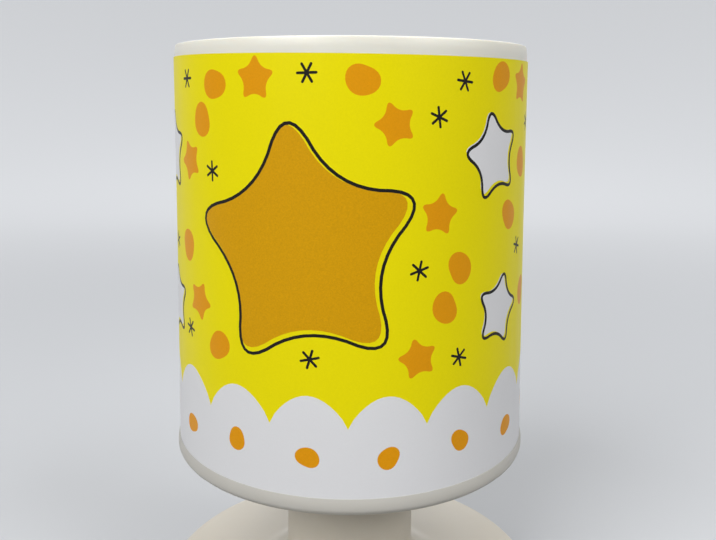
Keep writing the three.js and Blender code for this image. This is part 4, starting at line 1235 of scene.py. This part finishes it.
# Bulb
# A small opal globe bulb with a white plastic collar and a rolled nickel-plated screw cap, its tip contact
# set in black glass. It lifts straight out of the holder.
bulb_cap_low, bulb_cap_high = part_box("bulb_cap")
collar_low, collar_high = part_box("bulb_collar")
globe_low, globe_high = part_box("bulb_globe")
globe_radius = 0.0225
bulb_cap_radius = 0.0069
bulb_cap_bevel = 0.0008
bulb_cap_thread = 0.0004
bulb_cap_plain = 0.0028
bulb_cap_run_out = 0.0018
collar_foot = 0.0085
# The tip contact and the glass round it, as radii at shares of their height.
tip_shape = [(0.0014, 0.06), (0.0020, 0.35), (0.0022, 0.7), (0.0022, 1.0)]
glass_shape = [(0.0028, 0.0), (0.0031, 0.05), (0.0045, 0.42), (0.0058, 0.82), (0.0064, 1.0)]
collar_shape = [(0.0, 0.046), (0.3, 0.16), (0.62, 0.42), (0.86, 0.72), (1.0, 1.0)]


def smooth_line(points, steps):
    """A smooth curve through points of any dimension."""
    line = []
    padded = [points[0], *points, points[-1]]
    for four in zip(padded, padded[1:], padded[2:], padded[3:]):
        for step in range(steps):
            t = step / steps
            line.append(tuple(0.5 * (2 * b + (c - a) * t + (2 * a - 5 * b + 4 * c - d) * t * t
                                     + (3 * b - a - 3 * c + d) * t ** 3) for a, b, c, d in zip(*four)))
    return [*line, points[-1]]


for name, shape, steps, slot, node in (
        ("bulb_tip", tip_shape, 48, "brass_contact", "bulb_tip_contact"),
        ("bulb_insulator_glass", glass_shape, 64, "black_plastic", "bulb_insulator")):
    low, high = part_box(node)
    sides = [(radius, low.z + (high.z - low.z) * share) for radius, share in shape]
    fit(turned(name, [(0.0, low.z), *sides, (0.0, high.z)], steps), slot, node, "bulb")


def bulb_cap_outer(angle, height):
    shoulder = min(1.0, max(0.0, (height - bulb_cap_low.z) / bulb_cap_bevel))
    low, high = bulb_cap_low.z + bulb_cap_bevel, bulb_cap_high.z - bulb_cap_plain
    wave = thread_wave(angle, height, low, high, shell_pitch, bulb_cap_run_out)
    rounding = bulb_cap_bevel * (1 - math.sin(math.pi / 2 * shoulder))
    return bulb_cap_radius - rounding - bulb_cap_thread * (1 - wave)


metal("bulb_cap_metal", (0.72, 0.71, 0.68), gloss=(0.14, 0.28), darkest=0.92)
fit(wavy_tube("rolled_cap", bulb_cap_low, bulb_cap_high, bulb_cap_outer, None, 96, 110),
    "bulb_cap_metal", "bulb_cap", "bulb", 50.0)

collar_line = smooth_line([(collar_foot + (collar_high.x - collar_foot) * out,
                            collar_low.z + (collar_high.z - collar_low.z) * up)
                           for out, up in collar_shape], 8)
bulb_collar = turned("bulb_collar_cone", [
    (0.0, collar_low.z), (collar_foot - holder_edge, collar_low.z), (collar_foot, collar_low.z + holder_edge),
    *collar_line, (0.0, collar_high.z)], 96)
fit(bulb_collar, "white_plastic", "bulb_collar", "bulb", 35.0)

plastic("opal_plastic", (0.78, 0.78, 0.76), gloss=(0.30, 0.38), pebble=3200.0, scatter=0.6)
globe_centre = globe_high.z - globe_radius
globe_start = math.degrees(math.asin((globe_low.z - globe_centre) / globe_radius))
globe = turned("opal_globe", [
    (0.0, globe_low.z), *arc(0.0, globe_centre, globe_radius, globe_start, 90, 40)[:-1],
    (0.0, globe_high.z)], 112)
fit(globe, "opal_plastic", "bulb_globe", "bulb")

# Shade tube
# A white moulded tube, slightly narrower towards the top as such mouldings are. It drops over the dish's
# upright ring, and its plain band shows above the printed sleeve and curves in a little to a crisp edge.
tube_edge_round = 0.0004
tube_lean_radius = 0.0155
tube_lean_angle = 12.0
tube_inner_round = 0.0004
tube_levels = 12


def shade_moulding():
    levels = [tube_low.z + (film_high.z - tube_low.z) * level / tube_levels
              for level in range(tube_levels + 1)]
    inner_top = tube_radius(tube_high.z) - tube_wall
    edge_height = tube_high.z - tube_edge_round
    between = tube_lean_radius - tube_edge_round
    lean_height = edge_height - between * math.sin(math.radians(tube_lean_angle))
    lean_centre = tube_radius(lean_height) - tube_lean_radius
    edge_centre = lean_centre + between * math.cos(math.radians(tube_lean_angle))
    return turned("shade_moulding", [
        *[(tube_radius(level), level) for level in levels],
        *arc(lean_centre, lean_height, tube_lean_radius, 0, tube_lean_angle, 10),
        *arc(edge_centre, edge_height, tube_edge_round, tube_lean_angle, 90, 8)[1:],
        *arc(inner_top + tube_inner_round, tube_high.z - tube_inner_round, tube_inner_round, 90, 180, 4),
        *[(tube_radius(level) - tube_wall, level) for level in levels[-2:0:-1]],
        (tube_radius(tube_low.z) - tube_wall + tube_inner_round, tube_low.z),
    ], 288)


plastic("shade_plastic", (0.755, 0.743, 0.663), gloss=(0.30, 0.40), scatter=0.3)
fit(shade_moulding(), "shade_plastic", "shade_tube", "shade")

# Printed sleeve
# A film printed flat with stars and dots over a scalloped white hem, rolled round the tube and butted at
# the back. The print is cut into the mesh as regions of ink, worked out in millimetres on the flat film.
flat_radius = 58.75
flat_height = film_height * 1000
seam_half = 0.25
flat_half = math.pi * flat_radius - seam_half
film_columns = 144
film_rows = 10
film_hang = 0.0006
# The film's top edge isn't quite square: how far it is raised in front, towards the left, and at both sides.
film_askew = (0.0001, 0.0005, 0.0003)
white_ink, yellow_ink, ochre_ink, orange_ink, black_ink = range(5)
hem_scallops = 16
hem_low = 22.0
hem_rise = 9.5
hem_dot = 3.3
hem_dot_height = 13.5
pen_width = 0.95
pen_shift = (0.9, -0.7)
pen_growth = 1.035
star_tip = 1.12
star_waist = 0.56
# Each star: degrees round the shade from its front, height, tilt in degrees and reach.
ochre_stars = [(-14.0, 73.0, 6.0, 35.0), (106.0, 71.0, -9.0, 35.0), (-134.0, 74.0, 14.0, 35.0)]
white_stars = [(46.0, 98.0, 12.0, 12.5), (166.0, 94.0, -8.0, 12.5), (-74.0, 97.0, 5.0, 12.5),
               (50.0, 52.0, -14.0, 11.0), (-72.0, 50.0, 9.0, 11.0), (168.0, 49.0, 20.0, 11.0)]
scatter_heights = [42.0, 55.0, 68.0, 81.0, 94.0, 107.0, 118.0]
scatter_columns = 24
scatter_margin = 2.6
scatter_sway = 1.6
small_star = 6.2
small_dot = 4.4
tick_reach = 3.0
tick_width = 0.75

inked = []


def lay_ink(outline, colour):
    """Adds a region of ink over those before it, its outline turned anticlockwise."""
    doubled = sum(x0 * y1 - x1 * y0 for (x0, y0), (x1, y1) in zip(outline, outline[1:] + outline[:1]))
    inked.append((outline if doubled > 0 else outline[::-1], colour))


def beside(centre, reach, angle):
    return (centre[0] + reach * math.cos(angle), centre[1] + reach * math.sin(angle))


def soft_star(centre, reach, tilt):
    """A five-pointed star whose corners are cut away evenly until they are round."""
    corners = [beside(centre, reach * (star_waist if corner % 2 else star_tip),
                      math.radians(90 + tilt) + math.pi * corner / 5) for corner in range(10)]
    for _ in range(3):
        softer = []
        for (x0, y0), (x1, y1) in zip(corners, corners[1:] + corners[:1]):
            softer.append((0.75 * x0 + 0.25 * x1, 0.75 * y0 + 0.25 * y1))
            softer.append((0.25 * x0 + 0.75 * x1, 0.25 * y0 + 0.75 * y1))
        corners = softer
    return corners


def uneven_dot(centre, radius, lean):
    """A dot that is a little longer one way than the other."""
    return [beside(centre, radius * (1 + 0.11 * math.cos(2 * (a - lean)) + 0.04 * math.cos(3 * a + lean)), a)
            for a in even_angles(28)]


def draw_round(outline, width):
    """A closed pen line along an outline, in four-cornered lengths."""
    sides = []
    for before, (x, y), after in zip(outline[-1:] + outline, outline, outline[1:] + outline[:1]):
        along = Vector((after[0] - before[0], after[1] - before[1])).normalized() * width / 2
        sides.append(((x + along.y, y - along.x), (x - along.y, y + along.x)))
    for one, other in zip(sides, sides[1:] + sides[:1]):
        lay_ink([one[0], other[0], other[1], one[1]], black_ink)


def draw_tick(centre, angle, reach, width):
    """A short pen stroke with round ends."""
    along = Vector((math.cos(angle), math.sin(angle)))
    outline = []
    for end, start in ((1, angle - math.pi / 2), (-1, angle + math.pi / 2)):
        tip = Vector(centre) + along * end * (reach - width / 2)
        outline += [beside(tip, width / 2, start + math.pi * step / 6) for step in range(7)]
    lay_ink(outline, black_ink)


def flat_place(degrees, height):
    return (math.radians(degrees) * flat_radius, height)


def hem_outline():
    """White from the film's lower edge up to a row of even half rounds."""
    outline = [(-flat_half, 0.0), (flat_half, 0.0)]
    steps = hem_scallops * 14
    for step in range(steps + 1):
        share = 1 - 2 * step / steps
        wave = abs(math.sin(share * hem_scallops * math.pi / 2))
        outline.append((flat_half * share, hem_low + hem_rise * wave ** 0.75))
    return outline


lay_ink([(-flat_half, 0.0), (flat_half, 0.0), (flat_half, flat_height), (-flat_half, flat_height)],
        yellow_ink)
lay_ink(hem_outline(), white_ink)
for stars, colour in ((ochre_stars, ochre_ink), (white_stars, white_ink)):
    for degrees, height, tilt, reach in stars:
        centre = flat_place(degrees, height)
        outline = soft_star(centre, reach, tilt)
        lay_ink(outline, colour)
        draw_round([(centre[0] + (x - centre[0]) * pen_growth + pen_shift[0],
                     centre[1] + (y - centre[1]) * pen_growth + pen_shift[1]) for x, y in outline], pen_width)


# Where the small marks may not go: each drawn star's edge, then each small mark, as points with a reach.
taken_places = [(Vector(point), pen_width)
                for outline, colour in inked[2:] if colour != black_ink for point in outline]


def is_clear(place, reach):
    """True where a mark keeps clear of the stars, of the marks before it and of the film's two ends."""
    if abs(place.x) + reach > flat_half or place.y + reach > flat_height:
        return False
    for degrees, height, _, star_reach in ochre_stars + white_stars:
        if (Vector(flat_place(degrees, height)) - place).length < star_reach * star_waist:
            return False
    return all((other - place).length > reach + size + scatter_margin for other, size in taken_places)


for row, height in enumerate(scatter_heights):
    for column in range(scatter_columns):
        sway = math.sin(3.1 * column + 5.3 * row)
        nod = math.cos(4.7 * column + 2.9 * row)
        degrees = -180 + 360 * (column + 0.25 + 0.5 * (row % 2)) / scatter_columns
        place = Vector(flat_place(degrees, height)) + Vector((scatter_sway * sway, scatter_sway * nod))
        kind = (column + 2 * row) % 3
        reach = (small_dot, small_star, tick_reach)[kind]
        if not is_clear(place, reach):
            continue
        taken_places.append((place, reach))
        if kind == 0:
            lay_ink(uneven_dot(place, small_dot, sway * 2), orange_ink)
        elif kind == 1:
            lay_ink(soft_star(place, small_star, 25 * sway), orange_ink)
        else:
            for spoke in range(3):
                draw_tick(place, math.radians(60 * spoke + 30 * sway), tick_reach, tick_width)
for scallop in range(hem_scallops):
    height = hem_dot_height + 1.2 * math.sin(2.3 * scallop)
    place = flat_place(-180 + 360 * (scallop + 0.5) / hem_scallops, height)
    lay_ink(uneven_dot(place, hem_dot, 1.3 * scallop), orange_ink)


def printed_film():
    """The film rolled round the tube: its outer face in regions of ink, its back, and its four cut edges."""
    points, regions, lines = [], [], []
    for outline, _ in inked:
        regions.append(list(range(len(points), len(points) + len(outline))))
        points.extend(Vector(point) for point in outline)
    for column in range(1, film_columns):
        x = -flat_half + 2 * flat_half * column / film_columns
        lines.append((len(points), len(points) + 1))
        points.extend((Vector((x, 0.0)), Vector((x, flat_height))))
    for row in range(1, film_rows):
        y = flat_height * row / film_rows
        lines.append((len(points), len(points) + 1))
        points.extend((Vector((-flat_half, y)), Vector((flat_half, y))))
    flat, _, cells, _, _, sources = delaunay_2d_cdt(points, lines, regions, 1, 1e-4)

    body = bmesh.new()
    outer, inner = [], []
    for x, y in flat:
        angle = x / flat_radius
        left = -math.sin(angle)
        raised = film_askew[0] + film_askew[1] * left + film_askew[2] * left * left
        share = y / flat_height
        height = film_low.z + y / 1000 - film_hang * (1 - share) + raised * share
        for shell, radius in ((outer, film_radius(height)), (inner, film_radius(height) - film_thickness)):
            shell.append(body.verts.new((radius * math.sin(angle), -radius * math.cos(angle), height)))
    uses = set()
    for cell, source in zip(cells, sources):
        face = body.faces.new([outer[corner] for corner in cell])
        face.material_index = inked[max(source)][1]
        body.faces.new([inner[corner] for corner in reversed(cell)])
        uses.update(zip(cell, cell[1:] + cell[:1]))
    for one, other in uses:
        if (other, one) not in uses:
            body.faces.new((outer[other], outer[one], inner[one], inner[other]))
    return link_mesh("printed_film", body)


def ink_film_group():
    """Ink on satin film: a fine stipple of light and dark specks, and soft upright streaks of gloss."""
    group, place, start, end = surface_group("ink_film", {"Colour": (0.8, 0.8, 0.8, 1.0), "Stipple": 0.04})
    speck = grain(group, place, 2100.0, 2.0, 0.7)
    cloud = grain(group, place, 14.0)
    stretch = add_node(group, "Mapping", {"Vector": place, "Scale": (1.0, 1.0, 0.06)}).outputs["Vector"]
    streak = grain(group, stretch, 160.0, 3.0, 0.6)
    parts = {0: spread(group, speck, -1.0, 1.0), 1: start.outputs["Stipple"],
             2: spread(group, cloud, 0.985, 1.015)}
    tone = add_node(group, "Math", parts, operation="MULTIPLY_ADD").outputs["Value"]
    return finish_group(group, start, end, tone, spread(group, streak, 0.36, 0.46), speck)


ink_film = ink_film_group()
# Each ink, in the order of the numbers above: its name, its colour and the strength of its stipple.
film_inks = [
    ("white_film", (0.74, 0.741, 0.757), 0.012),
    ("yellow_ink", (0.835, 0.73, 0.001), 0.03),
    ("ochre_ink", (0.64, 0.326, 0.002), 0.10),
    ("orange_ink", (0.75, 0.31, 0.003), 0.05),
    ("black_ink", (0.006, 0.005, 0.005), 0.1),
]
film = printed_film()
for name, colour, stipple in film_inks:
    look = {"IOR": 1.47, "Specular IOR Level": 0.5 if name == "white_film" else 0.16}
    dressed(name, ink_film, {"Colour": (*colour, 1.0), "Stipple": stipple}, look, 0.00002, 0.25)
    film.data.materials.append(finishes[name])
film.data.shade_smooth()
film_normals = []
for vertex in film.data.vertices:
    outwards = Vector((vertex.co.x, vertex.co.y, 0.0)).normalized()
    outside = vertex.co.xy.length > film_radius(vertex.co.z) - film_thickness / 2
    film_normals.append(outwards if outside else -outwards)
film.data.normals_split_custom_set_from_vertices(film_normals)
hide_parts("print_sleeve")
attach(film, "shade")
